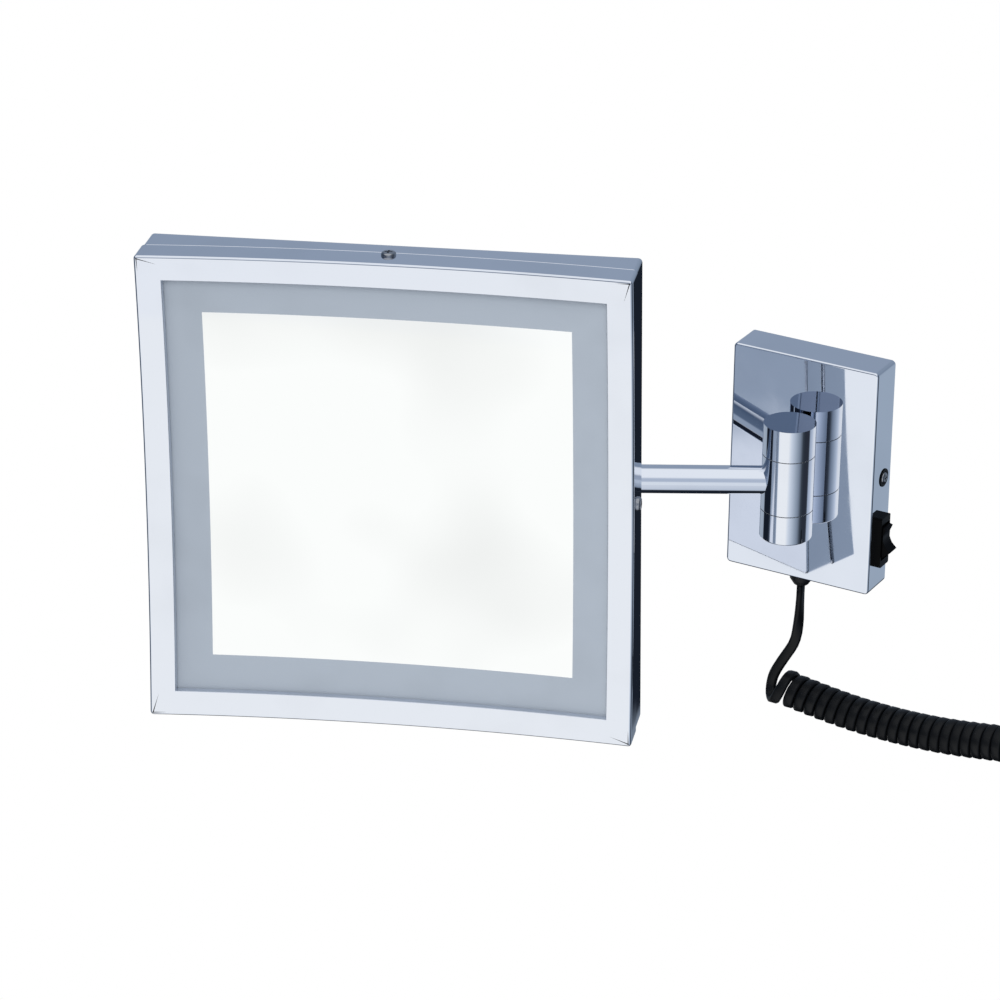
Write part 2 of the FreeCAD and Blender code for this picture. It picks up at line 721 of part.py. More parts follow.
def make_switch():
    """The switch body with its bezel, its spade terminals, and the rocker on two trunnions."""
    bezel = block(
        "SwitchBezel",
        ("0", "bezelProud"),
        ("-bezelHalfWide", "2 * bezelHalfWide"),
        ("-bezelHalfHigh", "2 * bezelHalfHigh"),
    )
    soft_bezel = round_edges("SwitchBezelSoft", bezel, "rockerPinRadius", runs_along(0))
    shell = block(
        "SwitchShell",
        ("-switchDeep", "switchDeep"),
        ("-switchHalfWide", "2 * switchHalfWide"),
        ("-switchHalfHigh", "2 * switchHalfHigh"),
    )
    cavity = block(
        "SwitchCavity",
        ("-switchDeep / 2", "switchDeep / 2 + 2 * bezelProud"),
        ("-rockerHalfWide - rockerPlay", "2 * (rockerHalfWide + rockerPlay)"),
        ("-rockerHalfHigh - 2 * rockerPlay", "2 * (rockerHalfHigh + 2 * rockerPlay)"),
    )
    trunnion_holes = rod(
        "SwitchTrunnionHoles",
        "rockerPinRadius + runningFit",
        "2 * switchHalfWide - rockerPlay",
        ("-rockerDeep", "-switchHalfWide + rockerPlay / 2", "0"),
        "Y",
    )
    solid = fuse("SwitchSolid", soft_bezel, shell)
    node("switch_body", cut("SwitchBody", solid, cavity, trunnion_holes), SWITCH)

    def spade(name):
        return block(
            name,
            ("-switchDeep - terminalLong", "terminalLong"),
            ("-terminalWide / 2", "terminalWide"),
            ("-terminalThick / 2", "terminalThick"),
        )

    rise = "switchHalfHigh / 2"
    repeat("switch_terminals", spade, [at("0", "0", rise), at("0", "0", "-" + rise)], SWITCH)

    profile = [
        ("-rockerRoot", "-rockerHalfHigh / 2"),
        ("rockerValley / 2", "-rockerHalfHigh"),
        ("rockerReach", "-rockerCrest"),
        ("(rockerReach + 3 * rockerValley) / 4", "-rockerCrest / 2"),
        ("rockerValley", "0"),
        ("(rockerReach + 3 * rockerValley) / 4", "rockerCrest / 2"),
        ("rockerReach", "rockerCrest"),
        ("rockerValley / 2", "rockerHalfHigh"),
        ("-rockerRoot", "rockerHalfHigh / 2"),
    ]
    paddle = padded("RockerPaddle", "XZ_Plane", profile, "2 * rockerHalfWide", "-rockerHalfWide")
    trunnions = rod(
        "RockerTrunnions",
        "rockerPinRadius",
        "2 * switchHalfWide - 2 * rockerPlay",
        ("0", "-switchHalfWide + rockerPlay", "0"),
        "Y",
    )
    rest = SWITCH * at("-rockerDeep", "0", "0", Rotation(BACK, -size("rockerLean")))
    node("switch_rocker", fuse("Rocker", paddle, trunnions), rest)


# ---------------------------------------------------------------------------------------------
# Light driver, terminal block and cable gland inside the box
# ---------------------------------------------------------------------------------------------
def make_driver():
    """An open tray with a board, a transformer and a capacitor that feed the light strips."""
    where = at("0", "-driverOut", "driverUp")
    tray = cut(
        "DriverTray",
        slab("DriverOuter", "driverWide / 2", ("-driverDeep", "driverDeep"), "driverHigh / 2"),
        slab(
            "DriverInner",
            "driverWide / 2 - driverWall",
            ("-driverDeep - 1", "driverDeep - driverWall + 1"),
            "driverHigh / 2 - driverWall",
        ),
    )
    node("driver_case", tray, where)
    floor = "(driverWall + driverBoard)"
    board = slab(
        "DriverBoard",
        "driverWide / 2 - driverWall - closeFit",
        ("-" + floor, "driverBoard"),
        "driverHigh / 2 - driverWall - closeFit",
    )
    node("driver_board", board, where)
    coil = block(
        "DriverCoil",
        ("-driverWide / 4 - coilSize / 2", "coilSize"),
        ("-%s - coilHigh" % floor, "coilHigh"),
        ("-coilSize / 2", "coilSize"),
    )
    node("driver_coil", round_edges("DriverCoilSoft", coil, "driverWall", runs_along(1)), where)
    capacitor = rod(
        "DriverCapacitor", "capRadius", "capLong", ("driverWide / 4", "-" + floor, "0"), "-Y"
    )
    node("driver_capacitor", capacitor, where)


def make_terminal_block():
    """A two-way screw terminal that joins the cord to the switch and the driver."""
    body = block(
        "TerminalBody",
        ("-blockWide / 2", "blockWide"),
        ("-blockDeep", "blockDeep"),
        ("-blockHigh / 2", "blockHigh"),
    )
    wells = [
        rod(
            "TerminalWell%d" % number,
            "blockWide / 8",
            "blockDeep / 2",
            (offset, "-blockDeep / 2", "0"),
            "-Y",
        )
        for number, offset in enumerate(("-blockWide / 4", "blockWide / 4"), start=1)
    ]
    where = at("-blockLeft", "-bracketThick", "-blockDown")
    node("terminal_block", cut("TerminalBlock", body, *wells), where)


GLAND_FACE = "(coverHeight / 2)"
GLAND_DEPTH = "(glandFlange + glandTaper)"


def make_gland():
    """A rubber bush moulded on the cord, and the nut that holds it in the bottom of the box."""
    where = at("-glandLeft", "-glandOut", "-" + GLAND_FACE)
    bush = turned(
        "Gland",
        [
            ("0", "-" + GLAND_DEPTH),
            ("glandMouth", "-" + GLAND_DEPTH),
            ("glandRadius", "-glandFlange"),
            ("glandRadius", "0"),
            ("glandNeck", "0"),
            ("glandNeck", "glandInside"),
            ("glandBore", "glandInside"),
            ("glandBore", "-glandFlange / 2"),
            ("0", "-glandFlange / 2"),
        ],
    )
    node("cable_gland", bush, where)
    nut = washer("GlandNut", "glandNeck + closeFit", "nutRadius", "nutHeight")
    node("gland_nut", nut, where * at("0", "0", "coverWall"))


# ---------------------------------------------------------------------------------------------
# Arm, in its own frame: the wall pivot is the Z axis and the arm runs along -X
# ---------------------------------------------------------------------------------------------
SPIGOT_RADIUS = "(tubeRadius - tubeWall - closeFit)"


def make_knuckle():
    """The turning middle barrel, with the spigot that carries the tube."""
    half = "knuckleHeight / 2"
    barrel = rod("KnuckleBarrel", "pivotRadius", "knuckleHeight", ("0", "0", "-" + half))
    spigot = rod(
        "KnuckleSpigot", SPIGOT_RADIUS, "pivotRadius + spigotLength", ("0", "0", "0"), "-X"
    )
    bore = rod(
        "KnuckleBore",
        "axleRadius + runningFit",
        "knuckleHeight + 2",
        ("0", "0", "-%s - 1" % half),
    )
    passage = rod(
        "KnucklePassage", "armWireHole", "pivotRadius + spigotLength + 1", ("0", "0", "0"), "-X"
    )
    solid = fuse("KnuckleSolid", barrel, spigot)
    node("arm_knuckle", cut("Knuckle", solid, bore, passage), ARM)


def make_tube():
    """The arm tube, coped to the barrel at each end and drilled for its set screw."""
    outer = rod("TubeOuter", "tubeRadius", "armLength", ("0", "0", "0"), "-X")
    inner = rod("TubeInner", "tubeRadius - tubeWall", "armLength + 2", ("1", "0", "0"), "-X")
    copes = [
        rod("TubeCopeWall", "pivotRadius", "knuckleHeight", ("0", "0", "-knuckleHeight / 2")),
        rod("TubeCopeEnd", "endRadius", "endHeight", ("-armLength", "0", "-endHeight / 2")),
    ]
    drilling = rod(
        "TubeDrilling",
        "grubRadius + closeFit",
        "2 * tubeRadius",
        ("-armLength + grubInset", "0", "0"),
        "-Z",
    )
    node("arm_tube", cut("Tube", outer, inner, *copes, drilling), ARM)


def make_arm_end():
    """The upright barrel at the arm's end that the head swivels on."""
    barrel = rod("EndBarrel", "endRadius", "endHeight", ("-armLength", "0", "-endHeight / 2"))
    spigot = rod(
        "EndSpigot", SPIGOT_RADIUS, "endRadius + spigotLength", ("-armLength", "0", "0"), "X"
    )
    bore = rod(
        "EndBore",
        "pinRadius + runningFit",
        "endHeight + 2",
        ("-armLength", "0", "-endHeight / 2 - 1"),
    )
    passage = rod(
        "EndPassage", "armWireHole", "endRadius + spigotLength + 1", ("-armLength", "0", "0"), "X"
    )
    thread = rod(
        "EndThread",
        "grubRadius + closeFit",
        "2 * tubeRadius",
        ("-armLength + grubInset", "0", "0"),
        "-Z",
    )
    solid = fuse("EndSolid", barrel, spigot)
    node("arm_end", cut("ArmEnd", solid, bore, passage, thread), ARM)


def make_arm_details():
    """The set screw under the arm, and the lead that lies in the spigots' wire passages."""
    grub = rod(
        "Grub",
        "grubRadius",
        "grubLength",
        ("-armLength + grubInset", "0", "-tubeRadius + closeFit"),
        "Z",
    )
    node("arm_set_screw", grub, ARM)
    low = "-(armWireHole - leadRadius - closeFit)"
    lead = rod(
        "ArmLead",
        "leadRadius",
        "armLength - axleRadius - pinRadius - 4",
        ("-axleRadius - 2", "0", low),
        "-X",
    )
    node("arm_lead", lead, ARM)


# ---------------------------------------------------------------------------------------------
# Swivel, in its own frame: the swivel pin is the Z axis and the head is towards -Y
# ---------------------------------------------------------------------------------------------
CHEEK_LOW = "(endHeight / 2 + yokeGap)"
CHEEK_TOP = "(endHeight / 2 + yokeGap + yokePlate)"
WEB_BACK = "(endRadius + webGap)"


def make_yoke():
    """Two cheeks above and below the arm's end, joined by a web that carries the tilt knuckle."""
    cheeks = []
    for side, low in (("Top", CHEEK_LOW), ("Low", "-" + CHEEK_TOP)):
        cheeks.append(rod("Cheek%sRound" % side, "endRadius", "yokePlate", ("0", "0", low)))
        cheeks.append(
            block(
                "Cheek%sFlat" % side,
                ("-yokeHalfWidth", "2 * yokeHalfWidth"),
                ("-%s - webThick" % WEB_BACK, "%s + webThick" % WEB_BACK),
                (low, "yokePlate"),
            )
        )
    web = block(
        "YokeWeb",
        ("-yokeHalfWidth", "2 * yokeHalfWidth"),
        ("-%s - webThick" % WEB_BACK, "webThick"),
        ("-" + CHEEK_TOP, "2 * " + CHEEK_TOP),
    )
    neck = block(
        "YokeNeck",
        ("-tiltHalf", "2 * tiltHalf"),
        ("-tiltOut", "tiltOut - " + WEB_BACK),
        ("-tiltKnuckle", "2 * tiltKnuckle"),
    )
    knuckle = rod(
        "YokeKnuckle", "tiltKnuckle", "2 * tiltHalf", ("-tiltHalf", "-tiltOut", "0"), "X"
    )
    pin_bore = rod(
        "YokePinBore",
        "pinRadius + closeFit",
        "2 * %s + 2" % CHEEK_TOP,
        ("0", "0", "-%s - 1" % CHEEK_TOP),
    )
    tilt_bore = rod(
        "YokeTiltBore",
        "tiltPinRadius + runningFit",
        "2 * tiltHalf + 2",
        ("-tiltHalf - 1", "-tiltOut", "0"),
        "X",
    )
    solid = fuse("YokeSolid", *cheeks, web, neck, knuckle)
    node("swivel_yoke", cut("Yoke", solid, pin_bore, tilt_bore), SWIVEL)


def make_swivel_details():
    """The headed swivel pin, the ring that keeps it in, and the nylon washers."""
    tail = "(%s + clipThick + 0.6)" % CHEEK_TOP
    pin = turned(
        "SwivelPin",
        [
            ("0", "-" + tail),
            ("pinRadius", "-" + tail),
            ("pinRadius", CHEEK_TOP),
            ("pinHeadRadius", CHEEK_TOP),
            ("pinHeadRadius", "%s + pinHeadHeight / 2" % CHEEK_TOP),
            ("pinHeadRadius - pinHeadHeight / 2", "%s + pinHeadHeight" % CHEEK_TOP),
            ("0", "%s + pinHeadHeight" % CHEEK_TOP),
        ],
    )
    node("swivel_pin", pin, SWIVEL)
    clip = washer("SwivelClip", "pinRadius + closeFit", "pinHeadRadius", "clipThick")
    node("swivel_clip", clip, SWIVEL * at("0", "0", "-%s - clipThick" % CHEEK_TOP))
    low = "(endHeight / 2 + (yokeGap - washerThick) / 2)"
    repeat(
        "swivel_washers",
        lambda name: washer(name, "pinRadius + closeFit", "endRadius - 0.4", "washerThick"),
        [at("0", "0", low), at("0", "0", "-%s - washerThick" % low)],
        SWIVEL,
    )


# ---------------------------------------------------------------------------------------------
# Tilt hinge, in its own frame: the tilt pin is the X axis and the head's back is towards -Y
# ---------------------------------------------------------------------------------------------
LUG_START = "(tiltHalf + lugGap)"
LUG_END = "(tiltHalf + lugGap + lugThick)"
SCREW_ANGLES = (45, 135, 225, 315)


def around_flange(angle, depth):
    """A place on the hinge screws' circle, that looks towards +Y."""
    reach = size("hingeScrewCircle") / 2
    turn = math.radians(angle)
    spot = Vector(reach * math.cos(turn), -size(depth), reach * math.sin(turn))
    return Placement(spot, TURN_TO["Y"])


def make_hinge():
    """A round flange on the head's back with two lugs that clasp the tilt knuckle."""
    flange = rod("HingeFlange", "flangeRadius", "flangeThick", ("0", "-tiltStand", "0"), "Y")
    soft = round_edges(
        "HingeFlangeSoft", flange, "flangeThick / 3", lies_at(1, "-tiltStand + flangeThick")
    )
    lugs = []
    for side, low in (("Right", LUG_START), ("Left", "-" + LUG_END)):
        lugs.append(rod("Lug%sEye" % side, "tiltKnuckle", "lugThick", (low, "0", "0"), "X"))
        lugs.append(
            block(
                "Lug%sRoot" % side,
                (low, "lugThick"),
                ("-tiltStand + flangeThick / 2", "tiltStand - flangeThick / 2"),
                ("-tiltKnuckle", "2 * tiltKnuckle"),
            )
        )
    bore = rod(
        "HingeBore",
        "tiltPinRadius + closeFit",
        "2 * %s + 2" % LUG_END,
        ("-%s - 1" % LUG_END, "0", "0"),
        "X",
    )
    holes = []
    for angle in SCREW_ANGLES:
        hole = rod("HingeHole%d" % angle, "sideScrewRadius + closeFit", "2 * flangeThick")
        holes.append(moved(hole, around_flange(angle, "tiltStand + flangeThick / 2")))
    wires = rod(
        "HingeWireHole",
        "hingeWireHole",
        "2 * flangeThick",
        ("0", "-tiltStand - flangeThick / 2", "-hingeScrewCircle / 2"),
        "Y",
    )
    solid = fuse("HingeSolid", soft, *lugs)
    node("hinge_bracket", cut("Hinge", solid, bore, wires, *holes), HINGE)


def make_tilt_details():
    """The tilt pin with its nut, the spring washers, and the hinge's own screws and clamping disc."""
    shank = "(%s + tiltHeadHeight + lugGap)" % LUG_END
    pin = turned(
        "TiltPin",
        [
            ("0", "-%s - %s" % (LUG_END, shank)),
            ("tiltPinRadius", "-%s - %s" % (LUG_END, shank)),
            ("tiltPinRadius", "0"),
            ("tiltHeadRadius", "0"),
            ("tiltHeadRadius", "tiltHeadHeight / 2"),
            ("tiltHeadRadius - tiltHeadHeight / 2", "tiltHeadHeight"),
            ("0", "tiltHeadHeight"),
        ],
    )
    node("tilt_pin", pin, HINGE * at(LUG_END, "0", "0", TURN_TO["X"]))
    nut = washer("TiltNut", "tiltPinRadius + closeFit", "tiltHeadRadius", "tiltHeadHeight")
    nut_place = HINGE * at("-" + LUG_END, "0", "0", TURN_TO["-X"])
    node("tilt_nut", nut, nut_place)
    slack = "(lugGap - tiltWasher) / 2"
    repeat(
        "tilt_washers",
        lambda name: washer(name, "tiltPinRadius + closeFit", "tiltKnuckle - 0.4", "tiltWasher"),
        [
            at("tiltHalf + " + slack, "0", "0", TURN_TO["X"]),
            at("-tiltHalf - " + slack, "0", "0", TURN_TO["-X"]),
        ],
        HINGE,
    )
    seat = "tiltStand - flangeThick"
    grip = "flangeThick + casingWall + bossThick"
    repeat(
        "hinge_screws",
        lambda name: pan_screw(name, "panHeadRadius", "panHeadHeight", "sideScrewRadius", grip),
        [around_flange(angle, seat) for angle in SCREW_ANGLES],
        HINGE,
    )
    disc = rod(
        "BossDisc",
        "bossRadius",
        "bossThick",
        ("0", "-tiltStand - casingWall - bossThick", "0"),
        "Y",
    )
    threads = []
    for angle in SCREW_ANGLES:
        thread = rod("BossThread%d" % angle, "sideScrewRadius + closeFit", "3 * bossThick")
        threads.append(moved(thread, around_flange(angle, "tiltStand + casingWall + 2 * bossThick")))
    wires = rod(
        "BossWireHole",
        "hingeWireHole",
        "3 * bossThick",
        ("0", "-tiltStand - casingWall - 2 * bossThick", "-hingeScrewCircle / 2"),
        "Y",
    )
    node("clamping_disc", cut("ClampingDisc", disc, wires, *threads), HINGE)


# ---------------------------------------------------------------------------------------------
# Head, in its own frame: the dish's lowest point is the origin, and the head looks towards -Y
# ---------------------------------------------------------------------------------------------
def dome(name, offset):
    """The ball whose back, at the offset behind the origin, gives every dished face its form."""
    ball = doc.addObject("Part::Sphere", name)
    ball.setExpression("Radius", link("dishRadius + (%s)" % offset))
    place_at(ball, ("0", "-dishRadius", "0"))
    return ball


def dished(name, offset, thick, half, hole_half=None):
    """A square sheet bent to the dish, its front face at the offset behind the dished front."""
    reach = "dishRadius / 20"
    blank = slab(name + "Blank", half, ("-" + reach, "2 * " + reach), half)
    pieces = common(name + "Bent", blank, dome(name + "Back", "%s + %s" % (offset, thick)))
    tools = [dome(name + "Front", offset)]
    if hole_half:
        tools.append(
            slab(name + "Hole", hole_half, ("-2 * " + reach, "4 * " + reach), hole_half)
        )
    return cut(name, pieces, *tools)


FRAME_HALF = "(headSize / 2)"
OPENING_HALF = "(headSize / 2 - lipWidth)"
CASING_HALF = "(headSize / 2 - casingInset)"


def make_front_frame():
    """The cast front frame: a dished border in front of four thin side walls."""
    reach = "dishRadius / 20"
    blank = slab("FrameBlank", FRAME_HALF, ("-" + reach, "2 * " + reach), FRAME_HALF)
    soft = round_edges("FrameCorners", blank, "headCorner", runs_along(1))
    bent = common("FrameBent", soft, dome("FrameRear", "frameDepth"))
    faced = cut("FrameFaced", bent, dome("FrameFront", "0"))
    opening = slab("FrameOpening", OPENING_HALF, ("-2 * " + reach, "4 * " + reach), OPENING_HALF)
    pocket = cut(
        "FramePocket",
        slab(
            "FramePocketBlank",
            "headSize / 2 - frameWall",
            ("-" + reach, "3 * " + reach),
            "headSize / 2 - frameWall",
        ),
        dome("FramePocketFloor", "lipThick"),
    )
    screw_holes = []
    for number, pose in enumerate(side_poses(), start=1):
        hole = rod(
            "FrameScrewHole%d" % number,
            "sideScrewRadius + closeFit",
            "4 * frameWall",
            ("0", "frameScrewBack", "headSize / 2 - 2 * frameWall"),
        )
        screw_holes.append(moved(hole, pose))
    plain = cut("FramePlain", faced, opening, pocket, *screw_holes)
    doc.recompute()
    front = dome_edges(plain, "0")
    eased = doc.addObject("Part::Fillet", "Frame")
    eased.Base = plain
    eased.Edges = [(number, size("frameEdge"), size("frameEdge")) for number in front]
    node("front_frame", eased, HEAD)


def dome_edges(obj, offset):
    """Numbers of the edges that lie on the dished face at the offset and outside the opening."""
    middle = Vector(0, -size("dishRadius"), 0)
    radius = size("dishRadius + (%s)" % offset)
    inner = size(OPENING_HALF) + 1
    picked = []
    for number, edge in enumerate(obj.Shape.Edges, start=1):
        points = edge.discretize(5)
        on_dome = all(abs((p - middle).Length - radius) < 1e-3 for p in points)
        outside = all(max(abs(p.x), abs(p.z)) > inner for p in points)
        if on_dome and outside:
            picked.append(number)
    return picked


def side_poses():
    """The four sides of the head: top, right, bottom and left."""
    return [Placement(Vector(), Rotation(BACK, 90 * turn)) for turn in range(4)]


def make_glass():
    """The dished mirror glass, the gasket before it and the opal diffuser behind it."""
    glass_half = "headSize / 2 - frameWall - glassPlay"
    gasket = dished(
        "Gasket", "lipThick", "gasketThick", glass_half, OPENING_HALF + " + gasketInset"
    )
    node("glass_gasket", gasket, HEAD)
    front = "lipThick + gasketThick"
    node("mirror_glass", dished("Glass", front, "glassThick", glass_half), HEAD)
    diffuser = dished(
        "Diffuser",
        front + " + glassThick + diffuserGap",
        "diffuserThick",
        glass_half,
        "clearSize / 2 - 1.5",
    )
    node("diffuser", diffuser, HEAD)


def make_rear_casing():
    """A pressed tray that closes the head from behind and meets the frame at the dished joint."""
    reach = "dishRadius / 20"
    blank = slab("CasingBlank", CASING_HALF, ("-" + reach, reach + " + casingRear"), CASING_HALF)
    soft = round_edges("CasingCorners", blank, "casingCorner", runs_along(1))
    softer = round_edges("CasingBack", soft, "casingEdge", lies_at(1, "casingRear"))
    inner_blank = slab(
        "CasingInnerBlank",
        CASING_HALF + " - casingWall",
        ("-2 * " + reach, "2 * %s + casingRear - casingWall" % reach),
        CASING_HALF + " - casingWall",
    )
    inner = round_edges("CasingInner", inner_blank, "casingCorner - casingWall", runs_along(1))
    joint = dome("CasingJoint", "frameDepth + seamGap")
    screw_holes = []
    turn_back = Placement(Vector(), Rotation(BACK, -size("headRoll")))
    hinge_middle = turn_back * at("0", "tiltStand + casingRear", "-headRise")
    for angle in SCREW_ANGLES:
        hole = rod("CasingHole%d" % angle, "sideScrewRadius + closeFit", "4 * casingWall")
        place = hinge_middle * around_flange(angle, "tiltStand + 2 * casingWall")
        screw_holes.append(moved(hole, place))
    wires = rod(
        "CasingWireHole",
        "hingeWireHole",
        "4 * casingWall",
        ("0", "-tiltStand - 2 * casingWall", "-hingeScrewCircle / 2"),
        "Y",
    )
    screw_holes.append(moved(wires, hinge_middle))
    node("rear_casing", cut("Casing", softer, inner, joint, *screw_holes), HEAD)


def make_side_tabs():
    """Four tabs inside the casing and the domed screws that hold the frame to them."""
    top = CASING_HALF + " - casingWall"

    def tab(name):
        plate = block(
            name + "Plate",
            ("-tabHalf", "2 * tabHalf"),
            ("tabFront", "casingRear - casingWall - tabFront"),
            (top + " - tabThick", "tabThick"),
        )
        thread = rod(
            name + "Thread",
            "sideScrewRadius + closeFit",
            "3 * tabThick",
            ("0", "frameScrewBack", top + " - 2 * tabThick"),
        )
        return cut(name, plate, thread)

    repeat("side_tabs", tab, side_poses(), HEAD)
    reach = "casingInset + casingWall + tabThick"

    def screw(name):
        domed = turned(
            name,
            [
                ("0", "-(%s)" % reach),
                ("sideScrewRadius", "-(%s)" % reach),
                ("sideScrewRadius", "0"),
                ("frameScrewHead", "0"),
                ("frameScrewHead", "frameScrewRise * 0.2"),
                ("frameScrewHead * 0.86", "frameScrewRise * 0.62"),
                ("frameScrewHead * 0.5", "frameScrewRise * 0.93"),
                ("0", "frameScrewRise"),
            ],
        )
        domed.Placement = at("0", "frameScrewBack", FRAME_HALF)
        return domed

    repeat("frame_screws", screw, side_poses(), HEAD)


def make_lights():
    """Four light strips on the casing's floor, their chips, and the connector of the lead."""
    floor = "(casingRear - casingWall)"

    def board(name):
        return block(
            name,
            ("-boardLength / 2", "boardLength"),
            (floor + " - boardThick", "boardThick"),
            ("boardCentre - boardWidth / 2", "boardWidth"),
        )

    repeat("light_strips", board, side_poses(), HEAD)
    count = int(size("boardLength") // size("chipPitch"))
    chips = []
    for pose in side_poses():
        for number in range(count):
            chip = block(
                "Chip%d" % (len(chips) + 1),
                ("%s * chipPitch - chipLength / 2" % (number - (count - 1) / 2), "chipLength"),
                (floor + " - boardThick - chipThick", "chipThick"),
                ("boardCentre - chipWidth / 2", "chipWidth"),
            )
            chips.append(moved(chip, pose))
    node("light_chips", gather("Chips", *chips), HEAD)
    connector = block(
        "Connector",
        ("-boardWidth / 2", "boardWidth"),
        (floor + " - 4 * boardThick", "4 * boardThick"),
        ("-boardCentre + boardWidth / 2 + 1", "boardWidth / 2"),
    )
    node("lead_connector", connector, HEAD)


def make_pads():
    """Foam pads that press the glass forward against its gasket."""
    inner_corner = "(padCentre - padSize / 2)"
    sag = "(%s ^ 2 / dishRadius)" % inner_corner
    front = "(lipThick + gasketThick + glassThick - %s + padGap)" % sag

    def pad(name):
        return block(
            name,
            ("padCentre - padSize / 2", "padSize"),
            (front, "casingRear - casingWall - " + front),
            ("padCentre - padSize / 2", "padSize"),
        )

    repeat("foam_pads", pad, side_poses(), HEAD)


# ---------------------------------------------------------------------------------------------
# Cord and plug: routes are lists of chosen points in the document's frame
# ---------------------------------------------------------------------------------------------
TAIL_ROUTE = [
    (-1.6, -9.0, -60.0),
    (-2.4, -9.0, -69.8),
    (-4.2, -9.0, -80.2),
    (-8.2, -9.0, -90.7),
    (-14.6, -9.0, -100.0),
    (-18.3, -9.0, -106.7),
    (-18.4, -9.0, -111.9),
    (-16.2, -9.0, -116.4),
    (-12.15, -9.0, -119.35),
    (-7.36, -9.0, -120.07),
]
COIL_ROUTE = [
    (-6.5, -9.0, -114.3),
    (17.5, -9.0, -117.9),
    (44.0, -9.0, -119.3),
    (71.0, -9.0, -118.5),
    (98.0, -9.0, -116.0),
    (124.5, -9.0, -112.0),
]
LEAD_ROUTE = [
    (125.24, -9.0, -116.9),
    (135.13, -9.0, -115.41),
    (145.6, -9.0, -117.0),
    (155.6, -9.0, -120.8),
    (166.0, -9.0, -123.0),
    (176.0, -9.0, -123.0),
]
ARC_SHARE = 0.45


def route_wire(label, points):
    """Straight runs joined by tangent arcs, each as large as its two runs allow."""
    spots = [Vector(*p) for p in points]
    edges, radii, start = [], [], spots[0]
    for before, corner, after in zip(spots, spots[1:], spots[2:]):
        come, leave = corner - before, after - corner
        shorter = min(come.Length, leave.Length)
        come.normalize()
        leave.normalize()
        half_turn = come.getAngle(leave) / 2
        setback = ARC_SHARE * shorter
        radii.append(setback / math.tan(half_turn))
        first, last = corner - come * setback, corner + leave * setback
        inward = leave - come
        inward.normalize()
        middle = corner + inward * (radii[-1] / math.cos(half_turn) - radii[-1])
        edges.append(Part.makeLine(start, first))
        edges.append(Part.Arc(first, middle, last).toShape())
        start = last
    edges.append(Part.makeLine(start, spots[-1]))
    print("%s radii: %s" % (label, ", ".join("%.1f" % r for r in radii)))
    return Part.Wire(edges)


def make_tube_along(label, points, radius):
    """A round tube swept along a route, with its volume compared with section times length."""
    path = route_wire(label, points)
    direction = Vector(*points[1]) - Vector(*points[0])
    section = Part.Wire([Part.makeCircle(radius, Vector(*points[0]), direction)])
    solid = path.makePipeShell([section], True, False)
    expected = math.pi * radius**2 * path.Length
    print("%s length %.1f, volume share %.4f" % (label, path.Length, solid.Volume / expected))
    feature = doc.addObject("Part::Feature", label.title().replace("_", ""))
    feature.Shape = solid
    node(label, feature)


def make_cord():
    """The straight tail, the curly part as one fat tube, and the lead to the plug."""
    make_tube_along("cord_tail", TAIL_ROUTE, size("cordRadius"))
    make_tube_along("cord_coil", COIL_ROUTE, size("coilRadius"))
    make_tube_along("cord_lead", LEAD_ROUTE, size("cordRadius"))


def make_plug():
    """A flat two-blade plug that stands against the wall, with its strain relief."""
    where = Placement(Vector(*LEAD_ROUTE[-1]), Rotation())
    relief = cone(
        "Relief", "reliefMouth", "reliefRadius", "reliefLength", ("0", "0", "0"), "X"
    )
    node("plug_relief", relief, where)
    body = block(
        "PlugBlock",
        ("reliefLength", "plugLength"),
        ("-plugDeep / 2", "plugDeep"),
        ("-plugHigh / 2", "plugHigh"),
    )
    node("plug_body", round_edges("Plug", body, "plugEdge", lambda edge: True), where)

    def blade(name):
        return block(
            name,
            ("-bladeThick / 2", "bladeThick"),
            ("plugDeep / 2", "bladeLong"),
            ("-bladeWide / 2", "bladeWide"),
        )

    middle = "reliefLength + plugLength / 2"
    poses = [at(middle + side + "bladeApart / 2", "0", "0") for side in (" - ", " + ")]
    repeat("plug_blades", blade, poses, where)


# ---------------------------------------------------------------------------------------------
# Build everything, check it and write one file for each sub-part
# ---------------------------------------------------------------------------------------------
make_bracket()
make_cover()
make_backing()
make_ring_screws()
make_side_screws()
make_fixed_barrel("upper_barrel", "Upper", "upperHeight", 1)
make_fixed_barrel("lower_barrel", "Lower", "lowerHeight", -1)
make_axle()
make_pivot_washers()
make_switch()
make_driver()
make_terminal_block()
make_gland()
make_knuckle()
make_tube()
make_arm_end()
make_arm_details()
make_yoke()
make_swivel_details()
make_hinge()
make_tilt_details()
make_front_frame()
make_glass()
make_rear_casing()
make_side_tabs()
make_lights()
make_pads()
make_cord()
make_plug()
doc.recompute()

faults = [o.Label for o in doc.Objects if "Invalid" in o.State or "Error" in o.State]
faults += [n.Label for n in NODES if n.Shape.isNull() or not n.Shape.isValid()]
if faults:
    raise RuntimeError("these objects failed: " + ", ".join(sorted(set(faults))))

os.makedirs("parts", exist_ok=True)
for part in NODES:
    part.Shape.exportStep("parts/%s.step" % part.Label)
print("%d sub-parts written" % len(NODES))
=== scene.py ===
import math
import bmesh
import bpy
from mathutils import Matrix, Vector


